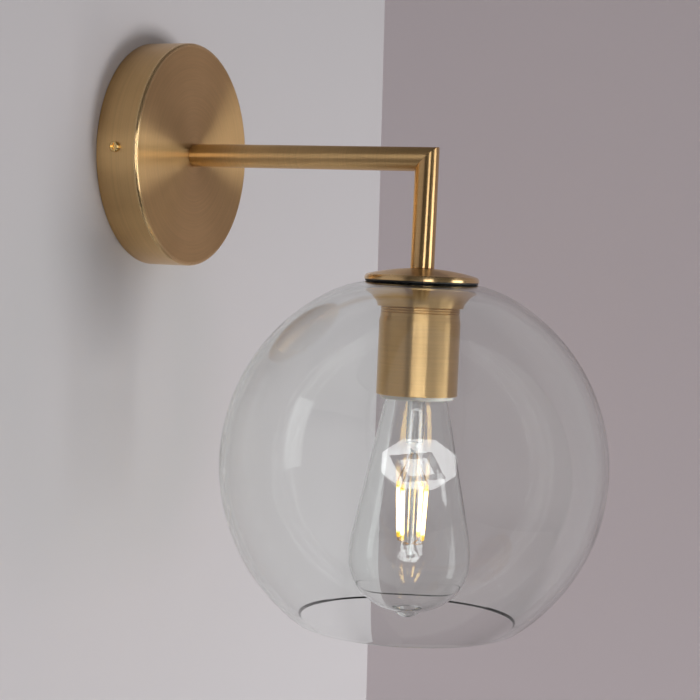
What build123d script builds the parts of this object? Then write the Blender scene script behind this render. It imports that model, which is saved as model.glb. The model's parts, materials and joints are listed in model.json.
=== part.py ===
from build123d import *
from math import asin, atan2, cos, degrees, pi, radians, sin, sqrt
import os

# Globe wall sconce, in millimetres. +Z is up, the wall is the plane y = 0 and the light stands out
# towards -Y. The arm's axis is the Y axis, so the origin is the middle of the wall bracket's back.

os.makedirs("parts", exist_ok=True)

# ---------------------------------------------------------------- driving dimensions

# wall rose
rose_diameter = 120.0
rose_depth = 24.0
rose_wall = 1.2
rose_edge_radius = 1.6

# arm and drop tubes, cut and brazed at a 45 degree mitre
tube_diameter = 12.4
tube_bore = 9.0
arm_reach = 160.0  # wall to the lamp's axis
drop_length = 55.7  # arm's axis to the drop tube's lower end
tapped_depth = 12.0  # thread inside each free tube end

# threaded nipples, washers and locknuts
nipple_diameter = 10.0
nipple_bore = 7.4
thread_clearance = 0.05
hole_clearance = 0.15
washer_thickness = 0.8
washer_diameter = 17.0
washer_notch_width = 1.6
washer_notch_count = 8
locknut_thickness = 3.0
locknut_across_flats = 14.0
nipple_tail = 1.4  # how far a nipple stands out of its nut

# wall bracket
bracket_thickness = 2.0
bracket_height = 20.0
bracket_ear_height = 13.0
bracket_ear_length = 17.0
bracket_bend_radius = 3.0
bracket_side_clearance = 0.35
bracket_centre_hole = 10.6
wall_slot_spacing = 60.0
wall_slot_width = 4.5
wall_slot_length = 14.0
bracket_tab_width = 24.0
bracket_tab_drop = 30.0
bracket_corner_radius = 2.5

# side screws that hold the rose to the bracket's ears
side_screw_diameter = 3.0
side_screw_length = 7.0
side_screw_setback = 11.5  # wall to the screw's axis
side_screw_head_diameter = 5.6
side_screw_head_height = 2.2
side_screw_head_radius = 0.99
recess_length = 3.4
recess_width = 0.8
recess_depth = 1.1

# mains terminal block on the bracket's tab, with a threaded barrel for each pole
pole_pitch = 9.0
pole_count = 3
block_end_step = 0.5  # turrets stop short of the block's ends
block_height = 15.0
block_depth = 12.5
block_gap_to_strap = 4.0
block_saddle_depth = 2.2
barrel_diameter = 4.6
barrel_length = 13.0
barrel_bore = 2.7
barrel_depth_in_block = 5.0
clamp_screw_diameter = 2.6
clamp_screw_length = 5.0
block_screw_diameter = 3.0
block_screw_head_diameter = 5.4
block_screw_head_height = 1.6

# earth screw on the strap
earth_screw_offset = 15.5
earth_screw_diameter = 3.5
earth_screw_head_diameter = 6.6
earth_screw_head_height = 2.2
earth_washer_thickness = 0.7
earth_tag_diameter = 7.4
earth_tag_thickness = 0.8
earth_tag_barrel_length = 4.5
earth_tag_barrel_diameter = 3.4
earth_tag_neck_length = 2.0

# leads
lead_diameter = 2.0
lead_spacing = 2.7
lead_offset = 2.0  # towards the outside of the elbow
lead_elbow_radius = 18.0
lead_bend_radius = 5.0
lead_turn_radius = 4.0  # where a lead turns into the arm
lead_s_bend_radius = 4.5
lead_entry_radius = 3.4
lead_entry_rise = 2.2  # straight lead above a post
lead_knee_drop = 2.6  # straight lead below the nipple
lead_end_gap = 0.6  # lead's end above the deck
lead_climb = 4.0  # straight lead behind the strap's lower edge
earth_lead_low = 1.0  # earth lead's bends above the block
earth_lead_high = 3.6
earth_lead_insertion = 1.0

# dome cap over the glass
cap_diameter = 59.0
cap_thickness = 1.2
cap_crown_radius = 110.0
cap_edge_radius = 2.5
cap_lip_height = 0.5

# stack between cap and lamp cup
spacer_diameter = 20.0
spacer_thickness = 1.6

# lamp cup with its threaded neck
neck_diameter = 40.8
cup_diameter = 41.8
cup_bore = 39.0
cup_top_thickness = 1.2
cup_height = 61.8
neck_length = 21.6
neck_taper = 2.4
cup_edge_radius = 0.5
neck_groove_depth = 0.35
neck_groove_pitch = 1.25
neck_groove_width = 0.75
neck_groove_count = 8
neck_plain_length = 1.3  # below the last groove

# glass globe
globe_diameter = 200.0
glass_wall = 2.6
crown_radius = 68.0  # flatter glass round the neck hole
crown_start_angle = 30.0
globe_hole_diameter = 42.8
globe_mouth_diameter = 116.4
glass_polish_radius = 0.9

# gaskets and seats
upper_gasket_diameter = 58.0
upper_gasket_bore = 50.0
upper_gasket_thickness = 0.8
glass_seat_clearance = 0.3
lower_gasket_thickness = 1.0
lower_gasket_bore = 44.6
lower_gasket_inset = 0.8

# shade ring that screws up the neck and carries the glass
ring_top_diameter = 57.0
ring_bottom_diameter = 43.8
ring_height = 9.2
ring_lip = 0.7
ring_flare_sag = 1.15
ring_thread_clearance = 0.08

# lampholder
holder_diameter = 38.4
holder_height = 40.6
holder_show = 2.0  # below the cup's edge
holder_mouth_diameter = 35.2
holder_mouth_depth = 4.6
holder_edge_radius = 0.72
shell_thread_diameter = 27.4
shell_thread_depth = 0.45
shell_sheet = 0.4
shell_pitch = 3.63
shell_turns = 5
shell_thread_start = 1.2  # flange to the first ring
shell_clearance = 0.3
shell_flange_bore = 19.0
deck_depth = 31.6  # mouth plane to the deck that carries the contacts
contact_width = 5.0
contact_sheet = 0.4
contact_rise = 1.9
contact_span = 5.0
contact_foot = 3.0
post_diameter = 6.4
post_height = 4.8
post_offset = 11.5
post_bore = 2.6
post_floor = 0.5
post_screw_diameter = 2.4
post_screw_length = 3.2

# bridge between nipple and lampholder
bridge_width = 16.0
bridge_thickness = 1.5
bridge_half_span = 15.6
bridge_bend_radius = 2.0
bridge_gap = 0.5
bridge_screw_diameter = 3.0
bridge_screw_length = 7.0
bridge_screw_head_diameter = 5.0
bridge_screw_head_height = 1.4
bridge_screw_run_out = 1.0  # hole below the screw's end

# bulb
bulb_diameter = 63.0
bulb_neck_diameter = 34.4
bulb_taper_angle = 11.5
bulb_belly_radius = 60.0
bulb_shoulder_radius = 27.4
bulb_end_radius = 46.0
bulb_wall = 0.8
bulb_contact_gap = 0.3
bulb_belly_drop = 82.6  # lampholder's mouth to the widest part
bulb_cap_diameter = 26.2
bulb_cap_thread_depth = 0.95
bulb_cap_pitch = 3.63
bulb_cap_turns = 4
bulb_cap_skirt = 5.0
bulb_cap_bore = 23.4
bulb_cap_nose = 4.9  # tip to the first thread
bulb_cap_nose_lip = 0.6
bulb_cap_last_crest = 1.0  # below the last root
bulb_tip_diameter = 9.5
bulb_tip_height = 1.5
bulb_tip_margin = 0.6
bulb_insulator_skirt = 1.6
bulb_seal_diameter = 22.8
bulb_seal_depth = 1.8
bulb_insulator_diameter = 21.6
bulb_nub_diameter = 14.6
bulb_nub_height = 3.1
stem_flare_length = 9.0
stem_tube_diameter = 9.2
stem_tube_length = 20.0
stem_wall = 0.8
press_width = 9.0
press_thickness = 3.2
press_height = 6.0
press_corner_radius = 1.44
rod_diameter = 3.2
rod_length = 55.0
rod_end_radius = 1.28
filament_diameter = 2.0
filament_length = 29.5
filament_top_circle = 17.8
filament_bottom_circle = 14.8
filament_drop = 43.5  # lampholder's mouth to the filament tops
filament_count = 4
filament_turn = 14.1  # angle of the first filament from +X
wire_diameter = 0.6
anchor_drop = 2.6
driver_width = 14.0
driver_height = 12.0
driver_board = 1.2
driver_chip = 3.0

# ---------------------------------------------------------------- frames and derived places

lamp_axis = Axis((0, -arm_reach, 0), (0, 0, 1))
lamp_section = Plane.XZ.offset(arm_reach)  # local x is the radius, local y is the height
rose_section = Plane.YZ  # local x is the world's Y, local y is the radius


def lamp_level(height):
    """Horizontal plane through the lamp's axis at this height."""
    return Plane(origin=(0, -arm_reach, height), x_dir=(1, 0, 0), z_dir=(0, 0, 1))


rose_radius = rose_diameter / 2
tube_radius = tube_diameter / 2
nipple_radius = nipple_diameter / 2
tapped_radius = nipple_radius + thread_clearance
passage_radius = nipple_radius + hole_clearance
lead_radius = lead_diameter / 2

# dome cap: a crown arc on the lamp's axis and a tangent edge arc
cap_radius = cap_diameter / 2
cap_edge_centre_r = cap_radius - cap_edge_radius
cap_edge_reach = cap_crown_radius - cap_edge_radius
cap_crown_half_angle = degrees(asin(cap_edge_centre_r / cap_edge_reach))
tube_seat_sag = cap_crown_radius - sqrt(cap_crown_radius**2 - tapped_radius**2)
cap_top = -drop_length + tube_seat_sag
cap_crown_centre = cap_top - cap_crown_radius
cap_edge_centre = cap_crown_centre + sqrt(cap_edge_reach**2 - cap_edge_centre_r**2)
cap_bottom = cap_edge_centre - cap_lip_height
cap_inner_crown = cap_crown_radius - cap_thickness

spacer_radius = spacer_diameter / 2
spacer_top = cap_crown_centre + sqrt(cap_inner_crown**2 - spacer_radius**2)
cup_top = spacer_top - spacer_thickness
cup_under = cup_top - cup_top_thickness
cup_washer_under = cup_under - washer_thickness
cup_nut_under = cup_washer_under - locknut_thickness
cup_bottom = cup_top - cup_height
neck_bottom = cup_top - neck_length

# globe: main sphere, flatter crown tangent to it, hung below the cap by its gasket
globe_radius = globe_diameter / 2
crown_centre_r = (globe_radius - crown_radius) * sin(radians(crown_start_angle))
crown_centre_rise = (globe_radius - crown_radius) * cos(radians(crown_start_angle))
upper_seat_r = upper_gasket_diameter / 2
upper_gasket_under = cap_bottom - upper_gasket_thickness
glass_at_seat = upper_gasket_under - glass_seat_clearance
crown_rise_at_seat = sqrt(crown_radius**2 - (upper_seat_r - crown_centre_r) ** 2)
crown_centre = glass_at_seat - crown_rise_at_seat
globe_centre = crown_centre - crown_centre_rise
inner_crown_radius = crown_radius - glass_wall
inner_globe_radius = globe_radius - glass_wall
globe_mouth_r = globe_mouth_diameter / 2
mouth_level = globe_centre - sqrt(globe_radius**2 - globe_mouth_r**2)
mouth_inner_r = sqrt(inner_globe_radius**2 - (globe_centre - mouth_level) ** 2)
globe_hole_r = globe_hole_diameter / 2


def crown_height(radius, distance):
    """Height of a crown surface of this radius at a distance from the lamp's axis."""
    return crown_centre + sqrt(radius**2 - (distance - crown_centre_r) ** 2)


# shade ring and lower gasket, seated under the glass
neck_radius = neck_diameter / 2
ring_bore_r = neck_radius + ring_thread_clearance
ring_top_r = ring_top_diameter / 2
ring_bottom_r = ring_bottom_diameter / 2
gasket_in_r = lower_gasket_bore / 2
gasket_out_r = ring_top_r - lower_gasket_inset
ring_seat_in = crown_height(inner_crown_radius, gasket_in_r) - lower_gasket_thickness
ring_seat_out = crown_height(inner_crown_radius, gasket_out_r) - lower_gasket_thickness
ring_bottom = ring_seat_out - ring_height
ring_lip_under = ring_seat_out - ring_lip

# lampholder
cup_bore_r = cup_bore / 2
holder_radius = holder_diameter / 2
holder_bottom = cup_bottom - holder_show
holder_top = holder_bottom + holder_height
deck_under = holder_bottom + deck_depth
mouth_shoulder = holder_bottom + holder_mouth_depth
shell_out_r = shell_thread_diameter / 2
shell_bore_r = shell_out_r + shell_sheet + shell_clearance
shell_top = deck_under - shell_sheet
bridge_top = cup_nut_under - bridge_gap
bridge_under = bridge_top - bridge_thickness
cup_nipple_end = bridge_under - nipple_tail
post_top = holder_top + post_height

# bulb: its tip rests under the centre contact
bulb_tip = deck_under - contact_sheet - contact_rise - bulb_contact_gap
bulb_cap_crest_r = bulb_cap_diameter / 2
bulb_cap_root_r = bulb_cap_crest_r - bulb_cap_thread_depth
bulb_thread_top = bulb_tip - bulb_cap_nose
bulb_thread_bottom = bulb_thread_top - bulb_cap_turns * bulb_cap_pitch
bulb_cap_bottom = bulb_thread_bottom - bulb_cap_skirt
bulb_radius = bulb_diameter / 2
belly_level = holder_bottom - bulb_belly_drop
shoulder_centre_r = bulb_radius - bulb_shoulder_radius
end_centre = belly_level + sqrt((bulb_end_radius - bulb_shoulder_radius) ** 2 - shoulder_centre_r**2)
end_half_angle = degrees(asin(shoulder_centre_r / (bulb_end_radius - bulb_shoulder_radius)))
seal_r = bulb_seal_diameter / 2
neck_r = bulb_neck_diameter / 2

# rose: nut and washer on its inner face
rose_inside = rose_depth - rose_wall
root_washer_back = rose_inside - washer_thickness
root_nut_back = root_washer_back - locknut_thickness
root_nipple_back = root_nut_back - nipple_tail
lead_x = lead_spacing / 2
lead_y = arm_reach + lead_offset

# ---------------------------------------------------------------- wall rose and its bracket

# Pressed cup with a rounded front edge, a hole for the arm's nipple and one for each side screw.
with BuildPart() as wall_rose:
    with BuildSketch(rose_section):
        with BuildLine():
            Polyline(
                (0, rose_radius),
                (-rose_depth, rose_radius),
                (-rose_depth, passage_radius),
                (-rose_inside, passage_radius),
                (-rose_inside, rose_radius - rose_wall),
                (0, rose_radius - rose_wall),
                close=True,
            )
        make_face()
    revolve(axis=Axis.Y)
    front_edge = wall_rose.edges().filter_by(GeomType.CIRCLE).sort_by(Axis.Y)
    front_edge = front_edge.filter_by(lambda e: abs(e.radius - rose_radius) < 1e-6)[0]
    fillet(front_edge, rose_edge_radius)
    with BuildSketch(Plane.YZ):
        with Locations((-side_screw_setback, 0)):
            Circle(side_screw_diameter / 2 + hole_clearance)
    extrude(amount=rose_radius, both=True, mode=Mode.SUBTRACT)
wall_rose.part.label = "wall_rose"
export_step(wall_rose.part, "parts/wall_rose.step")

# Folded strap against the wall: two ears for the side screws, a tab for the terminal block.
ear_face = sqrt((rose_radius - rose_wall) ** 2 - (bracket_ear_height / 2) ** 2) - bracket_side_clearance
ear_middle = ear_face - bracket_thickness / 2
strap_middle = -bracket_thickness / 2
tab_bottom = -bracket_height / 2 - bracket_tab_drop
block_top = -bracket_height / 2 - block_gap_to_strap
block_middle = block_top - block_height / 2
with BuildPart() as wall_bracket:
    with BuildSketch(Plane.XY.offset(-bracket_ear_height / 2)):
        with BuildLine():
            FilletPolyline(
                (-ear_middle, -bracket_ear_length),
                (-ear_middle, strap_middle),
                (ear_middle, strap_middle),
                (ear_middle, -bracket_ear_length),
                radius=bracket_bend_radius,
            )
        trace(line_width=bracket_thickness)
    extrude(amount=bracket_ear_height)
    with BuildSketch(Plane.XZ):
        strap_half = ear_middle - bracket_bend_radius - bracket_thickness
        RectangleRounded(2 * strap_half, bracket_height, bracket_corner_radius)
        with Locations((0, (tab_bottom - bracket_height / 2) / 2)):
            tab_length = bracket_tab_drop + bracket_height / 2
            RectangleRounded(bracket_tab_width, tab_length, bracket_corner_radius)
    extrude(amount=bracket_thickness)
    with BuildSketch(Plane.XZ):
        Circle(bracket_centre_hole / 2)
        with Locations((-wall_slot_spacing / 2, 0), (wall_slot_spacing / 2, 0)):
            SlotOverall(wall_slot_length, wall_slot_width)
        with Locations((-earth_screw_offset, 0)):
            Circle(earth_screw_diameter / 2 + thread_clearance)
        with Locations((pole_pitch / 2, block_middle)):
            Circle(block_screw_diameter / 2 + thread_clearance)
    extrude(amount=bracket_thickness, mode=Mode.SUBTRACT)
    with BuildSketch(Plane.YZ):
        with Locations((-side_screw_setback, 0)):
            Circle(side_screw_diameter / 2 + thread_clearance)
    extrude(amount=rose_radius, both=True, mode=Mode.SUBTRACT)
wall_bracket.part.label = "wall_bracket"
export_step(wall_bracket.part, "parts/wall_bracket.step")

# Pan-head screws with a cross recess, one through each side of the rose into an ear.
with BuildPart() as rose_side_screws:
    for side in (-1, 1):
        outward = Plane(origin=(side * rose_radius, -side_screw_setback, 0), z_dir=(side, 0, 0))
        with BuildSketch(outward):
            Circle(side_screw_head_diameter / 2)
        extrude(amount=side_screw_head_height)
        head_face = rose_side_screws.faces().sort_by(Axis.X)[0 if side < 0 else -1]
        fillet(head_face.edges(), side_screw_head_radius)
        with BuildSketch(outward):
            Circle(side_screw_diameter / 2)
        extrude(amount=-side_screw_length)
        with BuildSketch(outward.offset(side_screw_head_height)):
            Rectangle(recess_length, recess_width)
            Rectangle(recess_width, recess_length)
        extrude(amount=-recess_depth, mode=Mode.SUBTRACT)
rose_side_screws.part.label = "rose_side_screws"
export_step(rose_side_screws.part, "parts/rose_side_screws.step")

# ---------------------------------------------------------------- arm

mitre = Plane(origin=(0, -arm_reach, 0), z_dir=(0, 1, 1))

with BuildPart() as arm_tube:
    with BuildSketch(Plane.XZ.offset(rose_depth)):
        Circle(tube_radius)
        Circle(tube_bore / 2, mode=Mode.SUBTRACT)
    extrude(amount=arm_reach - rose_depth + tube_radius)
    split(bisect_by=mitre, keep=Keep.TOP)
    with BuildSketch(Plane.XZ.offset(rose_depth)):
        Circle(tapped_radius)
    extrude(amount=tapped_depth, mode=Mode.SUBTRACT)
arm_tube.part.label = "arm_tube"
export_step(arm_tube.part, "parts/arm_tube.step")

with BuildPart() as drop_tube:
    with BuildSketch(lamp_level(-drop_length)):
        Circle(tube_radius)
        Circle(tube_bore / 2, mode=Mode.SUBTRACT)
    extrude(amount=drop_length + tube_radius)
    split(bisect_by=mitre, keep=Keep.BOTTOM)
    with BuildSketch(lamp_level(-drop_length)):
        Circle(tapped_radius)
    extrude(amount=tapped_depth, mode=Mode.SUBTRACT)
drop_tube.part.label = "drop_tube"
export_step(drop_tube.part, "parts/drop_tube.step")

# Threaded nipple that clamps the rose between the arm's end and the locknut inside.
with BuildPart() as root_nipple:
    with BuildSketch(Plane.XZ.offset(root_nipple_back)):
        Circle(nipple_radius)
        Circle(nipple_bore / 2, mode=Mode.SUBTRACT)
    extrude(amount=rose_depth - root_nipple_back + tapped_depth - hole_clearance)
root_nipple.part.label = "root_nipple"
export_step(root_nipple.part, "parts/root_nipple.step")

with BuildPart() as root_washer:
    with BuildSketch(Plane.XZ.offset(root_washer_back)):
        Circle(washer_diameter / 2)
        Circle(passage_radius, mode=Mode.SUBTRACT)
        with PolarLocations(washer_diameter / 2, washer_notch_count):
            Rectangle(washer_notch_width, washer_notch_width, mode=Mode.SUBTRACT)
    extrude(amount=washer_thickness)
root_washer.part.label = "root_washer"
export_step(root_washer.part, "parts/root_washer.step")

with BuildPart() as root_locknut:
    with BuildSketch(Plane.XZ.offset(root_nut_back)):
        RegularPolygon(locknut_across_flats / 2, 6, major_radius=False)
        Circle(tapped_radius, mode=Mode.SUBTRACT)
    extrude(amount=locknut_thickness)
root_locknut.part.label = "root_locknut"
export_step(root_locknut.part, "parts/root_locknut.step")

# ---------------------------------------------------------------- mains terminal block and earth

block_front = bracket_thickness + block_depth
barrel_y = -bracket_thickness - barrel_depth_in_block
pole_xs = [(index - (pole_count - 1) / 2) * pole_pitch for index in range(pole_count)]
block_screw_x = pole_pitch / 2
block_saddle_radius = pole_pitch / 2 - block_saddle_depth / 2
clamp_levels = (block_middle - block_height / 4, block_middle + block_height / 4)
clamp_places = [(x, level) for x in pole_xs for level in clamp_levels]

# Moulded block: a rounded turret over each pole, notched between the poles.
with BuildPart() as terminal_block:
    with BuildSketch(Plane.XY.offset(block_top - block_height)):
        with Locations((0, -(bracket_thickness + (block_depth - block_saddle_depth) / 2))):
            Rectangle(pole_count * pole_pitch, block_depth - block_saddle_depth)
    extrude(amount=block_height)
    with BuildSketch(Plane.XZ.offset(bracket_thickness)):
        with Locations(*[(x, block_middle) for x in pole_xs]):
            SlotOverall(block_height - 2 * block_end_step, 2 * block_saddle_radius, rotation=90)
    extrude(amount=block_depth)
    with BuildSketch(Plane.XY.offset(block_top)):
        with Locations(*[(x, barrel_y) for x in pole_xs]):
            Circle(barrel_diameter / 2 + thread_clearance)
    extrude(amount=-block_height, mode=Mode.SUBTRACT)
    with BuildSketch(Plane.XZ.offset(block_front)):
        with Locations(*clamp_places):
            Circle(clamp_screw_diameter / 2 + hole_clearance)
    extrude(amount=-(block_depth - barrel_depth_in_block), mode=Mode.SUBTRACT)
    with BuildSketch(Plane.XZ.offset(bracket_thickness)):
        with Locations((block_screw_x, block_middle)):
            Circle(block_screw_diameter / 2 + hole_clearance)
    extrude(amount=block_depth, mode=Mode.SUBTRACT)
    with BuildSketch(Plane.XZ.offset(block_front - block_saddle_depth)):
        with Locations((block_screw_x, block_middle)):
            Circle(block_screw_head_diameter / 2 + hole_clearance)
    extrude(amount=block_saddle_depth, mode=Mode.SUBTRACT)
terminal_block.part.label = "terminal_block"
export_step(terminal_block.part, "parts/terminal_block.step")

with BuildPart() as terminal_barrels:
    with BuildSketch(Plane.XY.offset(block_middle - barrel_length / 2)):
        with Locations(*[(x, barrel_y) for x in pole_xs]):
            Circle(barrel_diameter / 2)
            Circle(barrel_bore / 2, mode=Mode.SUBTRACT)
    extrude(amount=barrel_length)
    with BuildSketch(Plane.XZ.offset(-barrel_y)):
        with Locations(*clamp_places):
            Circle(clamp_screw_diameter / 2 + thread_clearance)
    extrude(amount=barrel_diameter, mode=Mode.SUBTRACT)
terminal_barrels.part.label = "terminal_barrels"
export_step(terminal_barrels.part, "parts/terminal_barrels.step")

# Slotted clamp screws whose tips press on the leads in the barrels.
clamp_tip = -barrel_y + lead_radius
with BuildPart() as clamp_screws:
    with BuildSketch(Plane.XZ.offset(clamp_tip)):
        with Locations(*clamp_places):
            Circle(clamp_screw_diameter / 2)
    extrude(amount=clamp_screw_length)
    with BuildSketch(Plane.XZ.offset(clamp_tip + clamp_screw_length)):
        with Locations(*clamp_places):
            Rectangle(clamp_screw_diameter, recess_width)
    extrude(amount=-recess_depth / 2, mode=Mode.SUBTRACT)
clamp_screws.part.label = "clamp_screws"
export_step(clamp_screws.part, "parts/clamp_screws.step")

block_screw_seat = block_front - block_saddle_depth
with BuildPart() as block_screw:
    with BuildSketch(Plane.XZ.offset(0)):
        with Locations((block_screw_x, block_middle)):
            Circle(block_screw_diameter / 2)
    extrude(amount=block_screw_seat)
    with BuildSketch(Plane.XZ.offset(block_screw_seat)):
        with Locations((block_screw_x, block_middle)):
            Circle(block_screw_head_diameter / 2)
    extrude(amount=block_screw_head_height)
    with BuildSketch(Plane.XZ.offset(block_screw_seat + block_screw_head_height)):
        with Locations((block_screw_x, block_middle)):
            Rectangle(recess_length, recess_width)
            Rectangle(recess_width, recess_length)
    extrude(amount=-recess_depth, mode=Mode.SUBTRACT)
block_screw.part.label = "block_screw"
export_step(block_screw.part, "parts/block_screw.step")

# Earth screw, cup washer and ring tag, stacked on the strap.
earth_tag_front = bracket_thickness + earth_tag_thickness
earth_washer_front = earth_tag_front + earth_washer_thickness
earth_tag_barrel_y = -(bracket_thickness + earth_tag_barrel_diameter / 2 + hole_clearance)
earth_tag_barrel_top = -earth_tag_diameter / 2
with BuildPart() as earth_screw:
    with BuildSketch(Plane.XZ):
        with Locations((-earth_screw_offset, 0)):
            Circle(earth_screw_diameter / 2)
    extrude(amount=earth_washer_front)
    with BuildSketch(Plane.XZ.offset(earth_washer_front)):
        with Locations((-earth_screw_offset, 0)):
            Circle(earth_screw_head_diameter / 2)
    extrude(amount=earth_screw_head_height)
    with BuildSketch(Plane.XZ.offset(earth_washer_front + earth_screw_head_height)):
        with Locations((-earth_screw_offset, 0)):
            Rectangle(recess_length, recess_width)
            Rectangle(recess_width, recess_length)
    extrude(amount=-recess_depth, mode=Mode.SUBTRACT)
earth_screw.part.label = "earth_screw"
export_step(earth_screw.part, "parts/earth_screw.step")

with BuildPart() as earth_washer:
    with BuildSketch(Plane.XZ.offset(earth_tag_front)):
        with Locations((-earth_screw_offset, 0)):
            Circle(earth_tag_diameter / 2)
            Circle(earth_screw_diameter / 2 + hole_clearance, mode=Mode.SUBTRACT)
    extrude(amount=earth_washer_thickness)
earth_washer.part.label = "earth_washer"
export_step(earth_washer.part, "parts/earth_washer.step")

with BuildPart() as earth_tag:
    with BuildSketch(Plane.XZ.offset(bracket_thickness)):
        with Locations((-earth_screw_offset, 0)):
            Circle(earth_tag_diameter / 2)
        with Locations((-earth_screw_offset, earth_tag_barrel_top)):
            Rectangle(earth_tag_barrel_diameter, earth_tag_neck_length)
        with Locations((-earth_screw_offset, 0)):
            Circle(earth_screw_diameter / 2 + hole_clearance, mode=Mode.SUBTRACT)
    extrude(amount=earth_tag_thickness)
    with BuildSketch(Plane.XY.offset(earth_tag_barrel_top - earth_tag_barrel_length)):
        with Locations((-earth_screw_offset, earth_tag_barrel_y)):
            Circle(earth_tag_barrel_diameter / 2)
            Circle(lead_radius + thread_clearance, mode=Mode.SUBTRACT)
    extrude(amount=earth_tag_barrel_length)
earth_tag.part.label = "earth_tag"
export_step(earth_tag.part, "parts/earth_tag.step")

# ---------------------------------------------------------------- leads, held in the tubes all the way

lead_turn_y = barrel_y
lead_knee = cup_nipple_end - lead_knee_drop


def lead_path(side, start_x):
    """Corner points and bend radii from a pole of the block to a post of the lampholder."""
    points = [
        (start_x, barrel_y, block_middle),
        (start_x, barrel_y, -bracket_height / 2 + lead_climb),
        (side * lead_x, lead_turn_y, lead_offset),
        (side * lead_x, -lead_y, lead_offset),
        (side * lead_x, -lead_y, lead_knee),
        (side * post_offset, -lead_y, post_top + lead_entry_rise),
        (side * post_offset, -lead_y, holder_top + lead_end_gap),
    ]
    bends = [lead_bend_radius, lead_turn_radius, lead_elbow_radius, lead_s_bend_radius, lead_entry_radius]
    return points, bends


live_points, live_bends = lead_path(1, pole_xs[2])
with BuildPart() as lead_live:
    with BuildLine() as live_route:
        FilletPolyline(*live_points, radius=live_bends)
    with BuildSketch(Plane(origin=live_route.line @ 0, z_dir=live_route.line % 0)):
        Circle(lead_radius)
    sweep(path=live_route.line)
lead_live.part.label = "lead_live"
export_step(lead_live.part, "parts/lead_live.step")

neutral_points, neutral_bends = lead_path(-1, pole_xs[1])
with BuildPart() as lead_neutral:
    with BuildLine() as neutral_route:
        FilletPolyline(*neutral_points, radius=neutral_bends)
    with BuildSketch(Plane(origin=neutral_route.line @ 0, z_dir=neutral_route.line % 0)):
        Circle(lead_radius)
    sweep(path=neutral_route.line)
lead_neutral.part.label = "lead_neutral"
export_step(lead_neutral.part, "parts/lead_neutral.step")

with BuildPart() as lead_earth:
    with BuildLine() as earth_route:
        FilletPolyline(
            (pole_xs[0], barrel_y, block_middle),
            (pole_xs[0], barrel_y, block_top + earth_lead_low),
            (-earth_screw_offset, earth_tag_barrel_y, block_top + earth_lead_high),
            (-earth_screw_offset, earth_tag_barrel_y, earth_tag_barrel_top - earth_lead_insertion),
            radius=lead_bend_radius / 2,
        )
    with BuildSketch(Plane(origin=earth_route.line @ 0, z_dir=earth_route.line % 0)):
        Circle(lead_radius)
    sweep(path=earth_route.line)
lead_earth.part.label = "lead_earth"
export_step(lead_earth.part, "parts/lead_earth.step")

for name, route, lead in (("live", live_route, lead_live), ("neutral", neutral_route, lead_neutral)):
    route_length = route.line.wires()[0].length
    volume_ratio = lead.part.volume / (route_length * pi * lead_radius**2)
    print(f"{name} lead: {route_length:.1f} mm long, volume to section times length {volume_ratio:.4f}")

# ---------------------------------------------------------------- cap, glass and shade ring

# Spun dome cap: crown arc, tangent edge arc and a short lip, with the same arcs inside.
cap_wall_r = cap_radius - cap_thickness
cap_inner_edge_radius = cap_edge_radius - cap_thickness
hole_angle = degrees(asin(passage_radius / cap_crown_radius))
inner_hole_angle = degrees(asin(passage_radius / cap_inner_crown))
edge_sweep = 90 - cap_crown_half_angle
with BuildPart() as dome_cap:
    with BuildSketch(lamp_section):
        with BuildLine():
            crown = CenterArc(
                (0, cap_crown_centre), cap_crown_radius, edge_sweep, cap_crown_half_angle - hole_angle
            )
            edge = CenterArc((cap_edge_centre_r, cap_edge_centre), cap_edge_radius, 0, edge_sweep)
            inner_edge = CenterArc(
                (cap_edge_centre_r, cap_edge_centre), cap_inner_edge_radius, 0, edge_sweep
            )
            inner_crown = CenterArc(
                (0, cap_crown_centre), cap_inner_crown, edge_sweep, cap_crown_half_angle - inner_hole_angle
            )
            Polyline(edge @ 0, (cap_radius, cap_bottom), (cap_wall_r, cap_bottom), inner_edge @ 0)
            Line(inner_crown @ 1, crown @ 1)
        make_face()
    revolve(axis=lamp_axis)
dome_cap.part.label = "dome_cap"
export_step(dome_cap.part, "parts/dome_cap.step")

# Flat pad under the cap's lip.
gasket_bore_r = upper_gasket_bore / 2
with BuildPart() as upper_gasket:
    with BuildSketch(lamp_level(upper_gasket_under)):
        Circle(upper_gasket_diameter / 2)
        Circle(gasket_bore_r, mode=Mode.SUBTRACT)
    extrude(amount=upper_gasket_thickness)
    with BuildSketch(lamp_section):
        with BuildLine():
            under_arc = ThreePointArc(
                (globe_hole_r, crown_height(crown_radius, globe_hole_r) + glass_seat_clearance),
                (gasket_bore_r, crown_height(crown_radius, gasket_bore_r) + glass_seat_clearance),
                (cap_radius, crown_height(crown_radius, cap_radius) + glass_seat_clearance),
            )
            Line(under_arc @ 1, (cap_radius, cap_bottom - cap_diameter))
            Line((cap_radius, cap_bottom - cap_diameter), (globe_hole_r, cap_bottom - cap_diameter))
            Line((globe_hole_r, cap_bottom - cap_diameter), under_arc @ 0)
        make_face()
    revolve(axis=lamp_axis, mode=Mode.SUBTRACT)
upper_gasket.part.label = "upper_gasket"
export_step(upper_gasket.part, "parts/upper_gasket.step")

# Blown globe: main sphere and flatter crown on both faces, a neck hole and a fire-polished mouth.
crown_tangent_r = globe_radius * sin(radians(crown_start_angle))
crown_tangent_rise = globe_radius * cos(radians(crown_start_angle))
inner_tangent_r = inner_globe_radius * sin(radians(crown_start_angle))
inner_tangent_rise = inner_globe_radius * cos(radians(crown_start_angle))
crown_mid_angle = radians(crown_start_angle / 2)


def crown_point(radius, angle):
    """Point on a crown arc at this angle from the vertical."""
    return (crown_centre_r + radius * sin(angle), crown_centre + radius * cos(angle))


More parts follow.
